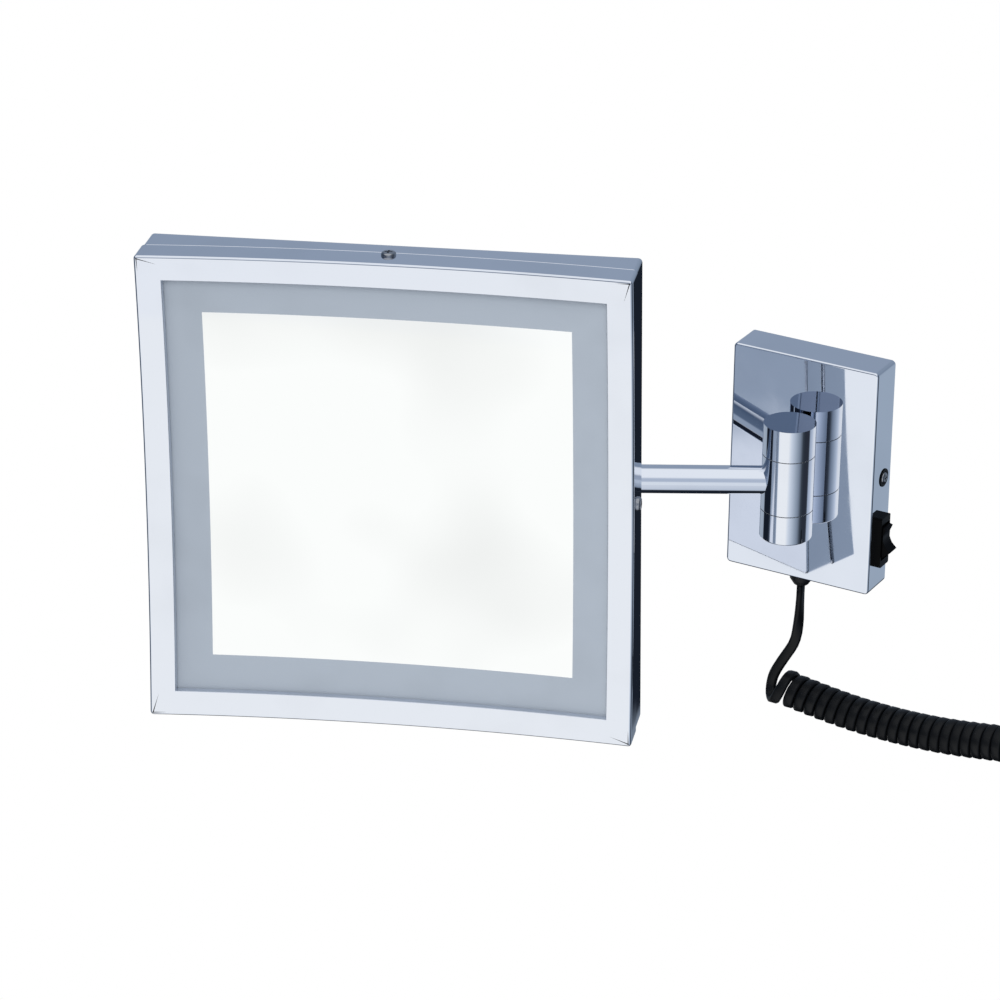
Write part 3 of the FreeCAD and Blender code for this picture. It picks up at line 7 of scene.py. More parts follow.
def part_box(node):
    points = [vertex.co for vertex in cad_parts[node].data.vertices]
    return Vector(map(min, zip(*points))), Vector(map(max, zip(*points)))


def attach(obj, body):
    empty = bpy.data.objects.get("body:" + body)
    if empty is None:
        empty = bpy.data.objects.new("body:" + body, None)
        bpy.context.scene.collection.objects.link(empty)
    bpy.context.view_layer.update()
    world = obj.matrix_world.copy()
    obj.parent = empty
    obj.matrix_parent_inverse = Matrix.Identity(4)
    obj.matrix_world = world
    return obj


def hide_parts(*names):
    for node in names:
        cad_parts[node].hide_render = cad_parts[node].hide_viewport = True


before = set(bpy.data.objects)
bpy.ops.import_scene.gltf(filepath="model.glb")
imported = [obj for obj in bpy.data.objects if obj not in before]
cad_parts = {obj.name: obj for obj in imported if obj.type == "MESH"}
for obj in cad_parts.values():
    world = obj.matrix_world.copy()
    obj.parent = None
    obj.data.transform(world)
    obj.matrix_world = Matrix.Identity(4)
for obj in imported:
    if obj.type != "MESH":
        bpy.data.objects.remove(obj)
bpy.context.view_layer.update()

# The stand
# A camera on a tall stand, a little to the right of the mirror and above it, with a long lens that
# keeps upright edges nearly parallel.
look_at = Vector((-0.13458, -0.05, -0.03401))
camera_distance, lens_length = 2.17875, 172.8
azimuth, elevation, roll = (math.radians(a) for a in (28.9, 24.69, 0.83))
ahead = Vector((
    -math.sin(azimuth) * math.cos(elevation),
    math.cos(azimuth) * math.cos(elevation),
    -math.sin(elevation),
))
level_right = Vector((math.cos(azimuth), math.sin(azimuth), 0))
level_up = level_right.cross(ahead)
right = level_right * math.cos(roll) + level_up * math.sin(roll)
up = level_up * math.cos(roll) - level_right * math.sin(roll)
bpy.ops.object.camera_add()
camera = bpy.context.object
camera.name = "camera"
camera.matrix_world = (
    Matrix.Translation(look_at - ahead * camera_distance)
    @ Matrix((right, up, -ahead)).transposed().to_4x4()
)
camera.data.lens = lens_length
camera.data.sensor_width = 36
camera.data.clip_end = 100
bpy.context.scene.camera = camera
bpy.context.scene.view_settings.view_transform = "Standard"
bpy.ops.object.select_all(action="DESELECT")

# The room
# Soft light from the front: white in front, slate grey at the sides and behind, and a few dark
# screens, which draw the dark lines down polished metal. A pale table lies below.
world = bpy.data.worlds.new("room")
bpy.context.scene.world = world
world.use_nodes = True
room = world.node_tree
room.nodes.clear()


def tone(red, green, blue):
    """A colour as seen on a screen, from 0 to 255 each, turned into light."""
    return tuple(
        v / 255 / 12.92 if v / 255 <= 0.04045 else ((v / 255 + 0.055) / 1.055) ** 2.4
        for v in (red, green, blue)
    ) + (1,)


direction = room.nodes.new("ShaderNodeTexCoord")
split = room.nodes.new("ShaderNodeSeparateXYZ")
room.links.new(direction.outputs["Generated"], split.inputs[0])
forward = room.nodes.new("ShaderNodeMath")
forward.operation = "MULTIPLY"
forward.inputs[1].default_value = -1
room.links.new(split.outputs["Y"], forward.inputs[0])
bearing = room.nodes.new("ShaderNodeMath")
bearing.operation = "ARCTAN2"
room.links.new(split.outputs["X"], bearing.inputs[0])
room.links.new(forward.outputs[0], bearing.inputs[1])
share = room.nodes.new("ShaderNodeMapRange")
share.inputs["From Min"].default_value = -math.pi
share.inputs["From Max"].default_value = math.pi
room.links.new(bearing.outputs[0], share.inputs["Value"])


def round_the_room(stops):
    """A band of colour round the room, from bearings in degrees: 0 in front, 90 at the right."""
    ramp = room.nodes.new("ShaderNodeValToRGB")
    room.links.new(share.outputs[0], ramp.inputs[0])
    elements = ramp.color_ramp.elements
    while len(elements) > 1:
        elements.remove(elements[-1])
    for number, (degrees, colour) in enumerate(stops):
        place = (degrees + 180) / 360
        element = elements[0] if number == 0 else elements.new(place)
        element.position = place
        element.color = tone(*colour)
    return ramp


charcoal = (24, 30, 41)
soot = (26, 32, 42)
ceiling_white = (246, 249, 253)
left_screen = [
    (-58, charcoal), (-50, (92, 106, 124)), (-40, (126, 140, 158)), (-34, (242, 246, 251)),
    (-8, (254, 255, 255)),
]
right_screen = [
    (88, (60, 68, 78)), (98, (46, 52, 62)), (118, (46, 50, 60)), (128, (92, 104, 118)),
    (138, (150, 164, 180)), (154, (164, 178, 194)),
]
low_band = round_the_room([
    (-180, (120, 133, 150)), (-175, soot), (-167, soot), (-160, (132, 145, 161)),
    (-134, (172, 183, 196)), (-92, (164, 176, 190)), (-88, charcoal), *left_screen,
    (24, (254, 255, 255)), (36, (220, 228, 238)), (48, (194, 204, 217)), (62, (162, 174, 188)),
    (75, (130, 142, 158)), *right_screen, (172, (150, 163, 180)), (179, (120, 133, 150)),
])
table_band = round_the_room([
    (-180, (120, 133, 150)), (-140, (172, 183, 196)), (-132, (250, 252, 255)), (-94, (250, 252, 255)),
    (-90, charcoal), *left_screen, (24, (250, 252, 255)), (36, (204, 212, 224)),
    (62, (152, 164, 180)), (75, (126, 138, 154)), *right_screen, (179, (120, 133, 150)),
])
middle_band = round_the_room([
    (-180, (140, 154, 172)), (-150, (152, 165, 184)), (-110, (104, 120, 140)), (-60, (66, 82, 106)),
    (-12, (58, 76, 104)), (14, (150, 160, 176)), (34, (190, 200, 216)), (70, (120, 132, 150)),
    (100, (44, 50, 60)), (130, (120, 134, 154)), (160, (140, 154, 172)), (180, (140, 154, 172)),
])


def between(low, high, first, second, edge=None):
    """A soft step from one colour to the next as the sight line, or another edge, rises."""
    step = room.nodes.new("ShaderNodeMapRange")
    step.interpolation_type = "SMOOTHSTEP"
    step.inputs["From Min"].default_value = low
    step.inputs["From Max"].default_value = high
    room.links.new(edge or split.outputs["Z"], step.inputs["Value"])
    mixed = room.nodes.new("ShaderNodeMix")
    mixed.data_type = "RGBA"
    room.links.new(step.outputs[0], mixed.inputs["Factor"])
    for socket, colour in (("A", first), ("B", second)):
        if isinstance(colour, tuple):
            mixed.inputs[socket].default_value = tone(*colour)
        else:
            room.links.new(colour, mixed.inputs[socket])
    return mixed.outputs["Result"]


def leaning(lean):
    """A sight line's height, raised as it points more to the front."""
    edge = room.nodes.new("ShaderNodeMath")
    edge.operation = "MULTIPLY_ADD"
    edge.inputs[1].default_value = -lean
    room.links.new(split.outputs["Y"], edge.inputs[0])
    room.links.new(split.outputs["Z"], edge.inputs[2])
    return edge.outputs[0]


low_walls = between(-0.456, -0.447, table_band.outputs[0], low_band.outputs[0])
walls = between(-0.1, 0.12, low_walls, middle_band.outputs[0])
covered = between(0.66, 0.88, walls, ceiling_white, leaning(0.35))
whole = between(-0.95, -0.8, soot, covered, leaning(0.45))
glow = room.nodes.new("ShaderNodeBackground")
room.links.new(whole, glow.inputs["Color"])
blank = room.nodes.new("ShaderNodeBackground")
blank.inputs["Color"].default_value = (1, 1, 1, 1)
seen_directly = room.nodes.new("ShaderNodeLightPath")
chosen = room.nodes.new("ShaderNodeMixShader")
room.links.new(seen_directly.outputs["Is Camera Ray"], chosen.inputs[0])
room.links.new(glow.outputs[0], chosen.inputs[1])
room.links.new(blank.outputs[0], chosen.inputs[2])
sky = room.nodes.new("ShaderNodeOutputWorld")
room.links.new(chosen.outputs[0], sky.inputs["Surface"])

table_size, table_height = 6, -0.32
bpy.ops.mesh.primitive_plane_add(size=table_size, location=(0, 0, table_height))
table = bpy.context.object
table.name = "table"
bpy.ops.object.transform_apply(location=True, rotation=True, scale=True)
table_top = bpy.data.materials.new("pale_table")
table_top.use_nodes = True
top = table_top.node_tree
top.nodes.clear()
matt = top.nodes.new("ShaderNodeBsdfDiffuse")
matt.inputs["Color"].default_value = (0.9, 0.9, 0.9, 1)
bright = top.nodes.new("ShaderNodeEmission")
look = top.nodes.new("ShaderNodeLightPath")
either = top.nodes.new("ShaderNodeMixShader")
end = top.nodes.new("ShaderNodeOutputMaterial")
top.links.new(look.outputs["Is Camera Ray"], either.inputs[0])
top.links.new(matt.outputs[0], either.inputs[1])
top.links.new(bright.outputs[0], either.inputs[2])
top.links.new(either.outputs[0], end.inputs["Surface"])
table.data.materials.append(table_top)
table.visible_glossy = False
table.visible_diffuse = False
table.visible_shadow = False
lamps_aim = Vector((-0.08, -0.06, 0))
for name, place, power, width in (
    ("front_softbox", (0.5, -1.5, 1.1), 14, 1.0),
    ("left_softbox", (-1.4, -0.8, 0.7), 6, 0.8),
):
    bpy.ops.object.light_add(type="AREA", location=place)
    lamp = bpy.context.object
    lamp.name = name
    lamp.data.energy = power
    lamp.data.size = width
    lamp.rotation_euler = (lamps_aim - Vector(place)).to_track_quat("-Z", "Y").to_euler()
    lamp.visible_glossy = False
bpy.ops.object.select_all(action="DESELECT")

# The cord
# A flat two-core mains cord in black rubber. It hangs from the bush under the wall box, turns once
# into a curly stretch that was wound on a rod and heat-set, and ends in a short lead to the plug.
cord_width, cord_thickness = 0.0049, 0.0028
coil_radius = 0.00685
first_pitch, last_pitch = 0.0053, 0.0049
first_turn, last_turn, turns_per_step = 0.70, 26, 1 / 16
coil_start = 0.0012
axis_resolution, cord_resolution = 16, 3
corner_steps, corner_roundness = 4, 0.92
twist_top, twist_height = -0.066, 0.030


def read_line(points, name, steps):
    """The smooth line that a spline draws through the room from its control points."""
    curve = bpy.data.curves.new(name, "CURVE")
    curve.dimensions = "3D"
    curve.resolution_u = steps
    spline = curve.splines.new("NURBS")
    spline.points.add(len(points) - 1)
    for control, point in zip(spline.points, points):
        control.co = (*point, 1)
    spline.order_u = 3
    spline.use_endpoint_u = True
    holder = bpy.data.objects.new(name, curve)
    bpy.context.scene.collection.objects.link(holder)
    bpy.context.view_layer.update()
    seen = holder.evaluated_get(bpy.context.evaluated_depsgraph_get())
    mesh = bpy.data.meshes.new_from_object(seen)
    line = [v.co.copy() for v in mesh.vertices]
    bpy.data.objects.remove(holder)
    bpy.data.meshes.remove(mesh)
    return line


tail_points = [
    (-0.0016, -0.009, -0.0600),
    (-0.0017, -0.009, -0.0700),
    (-0.0019, -0.009, -0.0800),
    (-0.0031, -0.009, -0.0900),
    (-0.0080, -0.009, -0.0985),
    (-0.0125, -0.0080, -0.1065),
    (-0.0150, -0.0068, -0.1122),
    (-0.0150, -0.0084, -0.1184),
    (-0.0108, -0.0140, -0.1202),
    (-0.0076, -0.0166, -0.1152),
    (-0.0052, -0.0135, -0.1078),
    (-0.0048, -0.0064, -0.1066),
]
coil_axis_points = [
    (-0.0060, -0.009, -0.1143),
    (0.0175, -0.009, -0.1178),
    (0.0440, -0.009, -0.1192),
    (0.0710, -0.009, -0.1183),
    (0.0980, -0.009, -0.1148),
    (0.1245, -0.009, -0.1108),
]
lead_points = [
    (0.1222, -0.0125, -0.1180),
    (0.1262, -0.0158, -0.1172),
    (0.1330, -0.0158, -0.1162),
    (0.1400, -0.0110, -0.1165),
    (0.1470, -0.0092, -0.1178),
    (0.1556, -0.009, -0.1208),
    (0.1660, -0.009, -0.1230),
    (0.1760, -0.009, -0.1230),
]
axis_line = read_line(coil_axis_points, "coil_axis", axis_resolution)
axis_steps = [0.0]
for a, b in zip(axis_line, axis_line[1:]):
    axis_steps.append(axis_steps[-1] + (b - a).length)


def on_axis(distance):
    """The point of the coil's axis at a distance along it, and the way it runs there."""
    for i in range(len(axis_line) - 1):
        if distance <= axis_steps[i + 1] or i == len(axis_line) - 2:
            share = (distance - axis_steps[i]) / (axis_steps[i + 1] - axis_steps[i])
            way = (axis_line[i + 1] - axis_line[i]).normalized()
            return axis_line[i].lerp(axis_line[i + 1], share), way


helix_points = []
distance, turn = coil_start, first_turn
while turn < last_turn:
    middle, way = on_axis(distance)
    above = Vector((-way.z, 0, way.x))
    angle = 2 * math.pi * turn
    helix_points.append(
        middle - above * coil_radius * math.cos(angle) - Vector((0, coil_radius * math.sin(angle), 0))
    )
    share = distance / axis_steps[-1]
    distance += (first_pitch * (1 - share) + last_pitch * share) * turns_per_step
    turn += turns_per_step
cord_line = read_line(
    [Vector(p) for p in tail_points] + helix_points + [Vector(p) for p in lead_points],
    "cord_line", cord_resolution,
)

# The flat section stands edge-on in the bush, turns face-on on its way down, and lies along the
# coil's axis in the turns, so each step of the line gets its own wide direction.
half_w, half_t = cord_width / 2, cord_thickness / 2
section = []
soft = half_t * corner_roundness
for corner, start in ((1, 1), 0), ((-1, 1), 90), ((-1, -1), 180), ((1, -1), 270):
    for step in range(corner_steps):
        a = math.radians(start + 90 * (step + 0.5) / corner_steps)
        section.append((
            corner[0] * (half_w - soft) + soft * math.cos(a),
            corner[1] * (half_t - soft) + soft * math.sin(a),
        ))
tail_end = len(tail_points) * cord_resolution
vertices, faces = [], []
for i, point in enumerate(cord_line):
    before = cord_line[max(i - 1, 0)]
    after = cord_line[min(i + 1, len(cord_line) - 1)]
    way = (after - before).normalized()
    down = min(max((twist_top - point.z) / twist_height, 0), 1) if i < tail_end else 1
    down = down * down * (3 - 2 * down)
    wide = Vector((math.sin(down * math.pi / 2), math.cos(down * math.pi / 2), 0))
    wide = (wide - way * wide.dot(way)).normalized()
    thin = way.cross(wide)
    vertices += [point + wide * u + thin * v for u, v in section]
count = len(section)
for i in range(len(cord_line) - 1):
    for k in range(count):
        n = (k + 1) % count
        faces.append((i * count + k, i * count + n, (i + 1) * count + n, (i + 1) * count + k))
faces.append(tuple(reversed(range(count))))
faces.append(tuple(range((len(cord_line) - 1) * count, len(cord_line) * count)))
cord_mesh = bpy.data.meshes.new("cord")
cord_mesh.from_pydata([tuple(v) for v in vertices], [], faces)
cord = bpy.data.objects.new("cord", cord_mesh)
bpy.context.scene.collection.objects.link(cord)
bpy.context.view_layer.objects.active = cord
cord.select_set(True)
bpy.ops.object.mode_set(mode="EDIT")
bpy.ops.mesh.select_all(action="SELECT")
bpy.ops.mesh.normals_make_consistent(inside=False)
bpy.ops.object.mode_set(mode="OBJECT")
bpy.ops.object.shade_smooth()
cord.select_set(False)
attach(cord, "wall_unit")
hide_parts("cord_tail", "cord_coil", "cord_lead")

# The finish of rubber and plastic
# Moulded and extruded skins have a fine even grain in relief, and a gloss that drifts between two
# values from patch to patch. The cord's rubber is the first of them.


def group_of(name, inputs, outputs):
    """An empty shader node group with named sockets."""
    group = bpy.data.node_groups.new(name, "ShaderNodeTree")
    for label, start in inputs:
        socket = group.interface.new_socket(label, in_out="INPUT", socket_type="NodeSocketFloat")
        socket.default_value = start
    group.interface.new_socket("Place", in_out="INPUT", socket_type="NodeSocketVector")
    for label in outputs:
        group.interface.new_socket(label, in_out="OUTPUT", socket_type="NodeSocketFloat")
    return group, group.nodes.new("NodeGroupInput"), group.nodes.new("NodeGroupOutput")


skin_group, given, made = group_of(
    "skin", (("Grain Size", 900), ("Gloss Low", 0.3), ("Gloss High", 0.5)), ("Roughness", "Height")
)
grain = skin_group.nodes.new("ShaderNodeTexNoise")
grain.inputs["Detail"].default_value = 3
patches = skin_group.nodes.new("ShaderNodeTexNoise")
patches.inputs["Scale"].default_value = 60
patches.inputs["Detail"].default_value = 4
spread = skin_group.nodes.new("ShaderNodeMapRange")
spread.inputs["From Min"].default_value = 0.35
spread.inputs["From Max"].default_value = 0.65
skin_group.links.new(given.outputs["Place"], grain.inputs["Vector"])
skin_group.links.new(given.outputs["Grain Size"], grain.inputs["Scale"])
skin_group.links.new(given.outputs["Place"], patches.inputs["Vector"])
skin_group.links.new(patches.outputs["Fac"], spread.inputs["Value"])
skin_group.links.new(given.outputs["Gloss Low"], spread.inputs["To Min"])
skin_group.links.new(given.outputs["Gloss High"], spread.inputs["To Max"])
skin_group.links.new(spread.outputs[0], made.inputs["Roughness"])
skin_group.links.new(grain.outputs["Fac"], made.inputs["Height"])


def finish(
    name, group, values, colour, metallic=0.0, bump=0.1, depth=0.00005, tint=0.0, cloud_size=35, **plain
):
    """A material on the piece's own coordinates, whose gloss and relief come from a group."""
    material = bpy.data.materials.new(name)
    material.use_nodes = True
    tree = material.node_tree
    shader = tree.nodes["Principled BSDF"]
    shader.inputs["Metallic"].default_value = metallic
    for socket, value in plain.items():
        shader.inputs[socket.replace("_", " ")].default_value = value
    place = tree.nodes.new("ShaderNodeTexCoord")
    surface = tree.nodes.new("ShaderNodeGroup")
    surface.node_tree = group
    for socket, value in values.items():
        surface.inputs[socket].default_value = value
    tree.links.new(place.outputs["Object"], surface.inputs["Place"])
    tree.links.new(surface.outputs["Roughness"], shader.inputs["Roughness"])
    relief = tree.nodes.new("ShaderNodeBump")
    relief.inputs["Strength"].default_value = bump
    relief.inputs["Distance"].default_value = depth
    tree.links.new(surface.outputs["Height"], relief.inputs["Height"])
    tree.links.new(relief.outputs[0], shader.inputs["Normal"])
    # Soft patches darkened by the tint: a random tone on most finishes, and painted reflection on the
    # silvered glass.
    mottle_and_painted_reflection = tree.nodes.new("ShaderNodeTexNoise")
    mottle_and_painted_reflection.inputs["Scale"].default_value = cloud_size
    tree.links.new(place.outputs["Object"], mottle_and_painted_reflection.inputs["Vector"])
    shades = tree.nodes.new("ShaderNodeMix")
    shades.data_type = "RGBA"
    shades.inputs["A"].default_value = tone(*colour)
    shades.inputs["B"].default_value = tone(*(max(c * (1 - tint), 0) for c in colour))
    parted = tree.nodes.new("ShaderNodeMapRange")
    parted.inputs["From Min"].default_value = 0.48
    parted.inputs["From Max"].default_value = 0.78
    tree.links.new(mottle_and_painted_reflection.outputs["Fac"], parted.inputs["Value"])
    tree.links.new(parted.outputs[0], shades.inputs["Factor"])
    tree.links.new(shades.outputs["Result"], shader.inputs["Base Color"])
    return material


cord_rubber = finish(
    "cord_rubber", skin_group, {"Grain Size": 1400, "Gloss Low": 0.34, "Gloss High": 0.5},
    (9, 10, 12), bump=0.25, tint=0.25, Specular_IOR_Level=0.22,
)
cord.data.materials.append(cord_rubber)

# The wall box
# A shallow box pressed from brass sheet, polished and chromed, that hooks over a zinc-plated bracket
# on the wall. Its corners are soldered and ground, so they are nearly sharp.
chrome_group, given, made = group_of(
    "polish", (("Gloss Low", 0.02), ("Gloss High", 0.06)), ("Roughness", "Height")
)
waves = chrome_group.nodes.new("ShaderNodeTexNoise")
waves.inputs["Scale"].default_value = 26
waves.inputs["Detail"].default_value = 1
haze = chrome_group.nodes.new("ShaderNodeTexNoise")
haze.inputs["Scale"].default_value = 90
haze.inputs["Detail"].default_value = 5
spread = chrome_group.nodes.new("ShaderNodeMapRange")
spread.inputs["From Min"].default_value = 0.4
spread.inputs["From Max"].default_value = 0.7
chrome_group.links.new(given.outputs["Place"], waves.inputs["Vector"])
chrome_group.links.new(given.outputs["Place"], haze.inputs["Vector"])
chrome_group.links.new(haze.outputs["Fac"], spread.inputs["Value"])
chrome_group.links.new(given.outputs["Gloss Low"], spread.inputs["To Min"])
chrome_group.links.new(given.outputs["Gloss High"], spread.inputs["To Max"])
chrome_group.links.new(spread.outputs[0], made.inputs["Roughness"])
chrome_group.links.new(waves.outputs["Fac"], made.inputs["Height"])
chrome = finish(
    "chrome", chrome_group, {"Gloss Low": 0.018, "Gloss High": 0.05}, (229, 233, 241),
    metallic=1.0, bump=0.06, depth=0.0004, tint=0.02,
)


def flat_first(piece):
    """Lets the large faces lead the shading, so that only the eased edges look round."""
    lead = piece.modifiers.new("flat_first", "WEIGHTED_NORMAL")
    lead.keep_sharp = True
    bpy.context.view_layer.objects.active = piece
    bpy.ops.object.modifier_apply(modifier=lead.name)


weld_distance, flat_angle = 0.000002, math.radians(0.5)


def clean_copy(node, body, material, name, bevel=0.0, angle=30):
    """A welded copy of a drawn part with smooth round faces, and eased edges where asked."""
    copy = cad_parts[node].copy()
    copy.data = copy.data.copy()
    copy.name = name
    copy.data.name = copy.name
    copy.parent = None
    copy.matrix_world = Matrix.Identity(4)
    bpy.context.scene.collection.objects.link(copy)
    bpy.ops.object.select_all(action="DESELECT")
    copy.select_set(True)
    bpy.context.view_layer.objects.active = copy
    bpy.ops.object.mode_set(mode="EDIT")
    bpy.ops.mesh.select_all(action="SELECT")
    bpy.ops.mesh.remove_doubles(threshold=weld_distance)
    bpy.ops.mesh.dissolve_limited(angle_limit=flat_angle)
    bpy.ops.object.mode_set(mode="OBJECT")
    if bevel:
        ease = copy.modifiers.new("eased_edges", "BEVEL")
        ease.width = bevel
        ease.segments = 2
        ease.limit_method = "ANGLE"
        ease.angle_limit = math.radians(angle)
        ease.use_clamp_overlap = True
        bpy.ops.object.modifier_apply(modifier=ease.name)
    bpy.ops.object.shade_smooth_by_angle(angle=math.radians(angle))
    flat_first(copy)
    copy.data.materials.clear()
    copy.data.materials.append(material)
    copy.select_set(False)
    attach(copy, body)
    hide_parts(node)


clean_copy("wall_cover", "wall_unit", chrome, "box_shell")

# The bracket, stiffener and inner steel parts
# Cut from zinc-plated sheet: bluish grey with faint crystals and a soft gloss.
zinc_group, given, made = group_of("zinc_flakes", (("Flake Size", 260),), ("Roughness", "Height"))
flakes = zinc_group.nodes.new("ShaderNodeTexVoronoi")
fine = zinc_group.nodes.new("ShaderNodeMapRange")
fine.inputs["To Min"].default_value = 0.28
fine.inputs["To Max"].default_value = 0.5
zinc_group.links.new(given.outputs["Place"], flakes.inputs["Vector"])
zinc_group.links.new(given.outputs["Flake Size"], flakes.inputs["Scale"])
zinc_group.links.new(flakes.outputs["Color"], fine.inputs["Value"])
zinc_group.links.new(fine.outputs[0], made.inputs["Roughness"])
zinc_group.links.new(flakes.outputs["Distance"], made.inputs["Height"])
zinc = finish(
    "zinc_plate", zinc_group, {"Flake Size": 260}, (176, 182, 190),
    metallic=1.0, bump=0.05, tint=0.12,
)
satin_steel = finish(
    "satin_steel", skin_group, {"Grain Size": 700, "Gloss Low": 0.22, "Gloss High": 0.38},
    (170, 172, 176), metallic=1.0, bump=0.06, tint=0.08,
)


def dress(material, *nodes):
    """The finish of drawn parts that stay as they are."""
    for node in nodes:
        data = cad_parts[node].data
        data.materials.clear()
        data.materials.append(material)


dress(zinc, "backing_plate", "ring_screws", "clamping_disc", "side_tabs")
clean_copy("wall_bracket", "wall_unit", zinc, "bracket_plate", bevel=0.0003)
dress(satin_steel, "pivot_axle", "arm_set_screw", "tilt_washers", "swivel_clip")

# The wall pivot
# Three barrels turned from brass bar and chromed. The upper and lower ones stand on the box by a
# short foot; the middle one turns on the axle between them and carries the arm.
pivot_middle = Vector((0, -0.0311, 0))
barrel_radius, foot_radius = 0.0117, 0.0046
foot_height, box_face = 0.0206, -0.0178
sharp_rim, round_rim = 0.00015, 0.0007


def turned_barrel(name, low, high, rim_low, rim_high):
    """A solid barrel turned on the lathe, with its end edges broken or rounded."""
    bpy.ops.object.select_all(action="DESELECT")
    bpy.ops.mesh.primitive_cylinder_add(
        vertices=160, radius=barrel_radius, depth=high - low,
        location=pivot_middle + Vector((0, 0, (low + high) / 2)),
    )
    barrel = bpy.context.object
    barrel.name = name
    bpy.ops.object.transform_apply(location=True, rotation=True, scale=True)
    for end, rim in ((low, rim_low), (high, rim_high)):
        bpy.ops.object.mode_set(mode="EDIT")
        work = bmesh.from_edit_mesh(barrel.data)
        for edge in work.edges:
            edge.select_set(all(abs(v.co.z - end) < 1e-5 for v in edge.verts))
        bmesh.update_edit_mesh(barrel.data)
        bpy.ops.mesh.bevel(offset=rim, segments=5)
        bpy.ops.mesh.select_all(action="DESELECT")
        bpy.ops.object.mode_set(mode="OBJECT")
    return barrel


def join_rod(barrel, start, end, radius):
    """Joins a round foot or tube to a barrel, from one point to another."""
    way = end - start
    bpy.ops.mesh.primitive_cylinder_add(
        vertices=128, radius=radius, depth=way.length, location=(start + end) / 2,
        rotation=way.to_track_quat("Z", "Y").to_euler(),
    )
    stem = bpy.context.object
    bpy.ops.object.transform_apply(location=True, rotation=True, scale=True)
    stem.select_set(True)
    barrel.select_set(True)
    bpy.context.view_layer.objects.active = barrel
    bpy.ops.object.join()


def complete(piece, body, *nodes, angle=35):
    """Smooth round faces, the chrome finish, the body, and the drawn parts that the piece stands for."""
    bpy.ops.object.select_all(action="DESELECT")
    piece.select_set(True)
    bpy.context.view_layer.objects.active = piece
    bpy.ops.object.shade_smooth_by_angle(angle=math.radians(angle))
    flat_first(piece)
    piece.data.materials.append(chrome)
    piece.select_set(False)
    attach(piece, body)
    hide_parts(*nodes)


for name, node, side, low, high, rims in (
    ("pivot_upper", "upper_barrel", 1, 0.0132, 0.0278, (sharp_rim, round_rim)),
    ("pivot_lower", "lower_barrel", -1, -0.0268, -0.0132, (round_rim, sharp_rim)),
):
    fixed_barrel = turned_barrel(name, low, high, *rims)
    level = Vector((0, 0, side * foot_height))
    join_rod(fixed_barrel, pivot_middle + level, Vector((0, box_face, 0)) + level, foot_radius)
    complete(fixed_barrel, "wall_unit", node)
nylon = finish(
    "nylon", skin_group, {"Grain Size": 500, "Gloss Low": 0.4, "Gloss High": 0.55},
    (222, 220, 210), bump=0.08, tint=0.06,
)
dress(nylon, "pivot_washers", "swivel_washers")

# The arm
# A half-inch brass tube, coped to the turning barrel and brazed, then polished and chromed as one.
# Its far end is brazed to a smaller upright barrel behind the head.
arm_turn, arm_reach = math.radians(29.6), 0.1677
knuckle_half, tube_start, tube_radius = 0.0129, 0.004, 0.00635
arm_way = Vector((-math.cos(arm_turn), -math.sin(arm_turn), 0))
arm_tip = pivot_middle + arm_way * arm_reach
knuckle = turned_barrel("arm_and_knuckle", -knuckle_half, knuckle_half, sharp_rim, sharp_rim)
join_rod(knuckle, pivot_middle + arm_way * tube_start, arm_tip, tube_radius)
complete(knuckle, "arm", "arm_knuckle", "arm_tube")
clean_copy("arm_end", "arm", chrome, "arm_barrel", bevel=0.0004, angle=40)

# The swivel and tilt joints behind the head
# Small cast and machined pieces, chromed: a yoke on an upright pin, and a bracket on a cross pin.
for node, body, name, eased in (
    ("swivel_yoke", "swivel", "yoke", 0.0004),
    ("swivel_pin", "swivel", "upright_pin", 0.0001),
    ("hinge_bracket", "head", "hinge_flange", 0.0002),
    ("tilt_pin", "head", "cross_pin", 0.0001),
    ("tilt_nut", "head", "cross_nut", 0.0001),
):
    clean_copy(node, body, chrome, name, bevel=eased, angle=40)

# The switch
# A snap-in rocker switch in black plastic: a bezel against the side of the box, and a dished paddle.
black_plastic = finish(
    "black_plastic", skin_group, {"Grain Size": 1100, "Gloss Low": 0.22, "Gloss High": 0.36},
    (3, 3, 4), bump=0.12, tint=0.2, Specular_IOR_Level=0.05,
)
clean_copy("switch_body", "wall_unit", black_plastic, "switch_bezel", bevel=0.0004, angle=50)
clean_copy("switch_rocker", "rocker", black_plastic, "switch_paddle", bevel=0.0004, angle=50)

# The bush and the plug
# Both are moulded in soft black rubber or plastic; the plug's relief is grooved so that it bends.
bush_rubber = finish(
    "bush_rubber", skin_group, {"Grain Size": 900, "Gloss Low": 0.45, "Gloss High": 0.6},
    (11, 11, 13), bump=0.2, tint=0.2, Specular_IOR_Level=0.3,
)
clean_copy("cable_gland", "wall_unit", bush_rubber, "bush", bevel=0.0003, angle=50)
dress(bush_rubber, "gland_nut", "plug_relief")
dress(black_plastic, "plug_body")
dress(satin_steel, "plug_blades")
brass = finish(
    "brass", skin_group, {"Grain Size": 600, "Gloss Low": 0.15, "Gloss High": 0.3},
    (205, 176, 110), metallic=1.0, bump=0.05, tint=0.1,
)
dress(brass, "switch_terminals")

# The side screws
# Black cup washers sunk in the sides of the box, with a cross-head screw in each.
clean_copy("cup_washers", "wall_unit", black_plastic, "cup_rings", bevel=0.0003, angle=40)


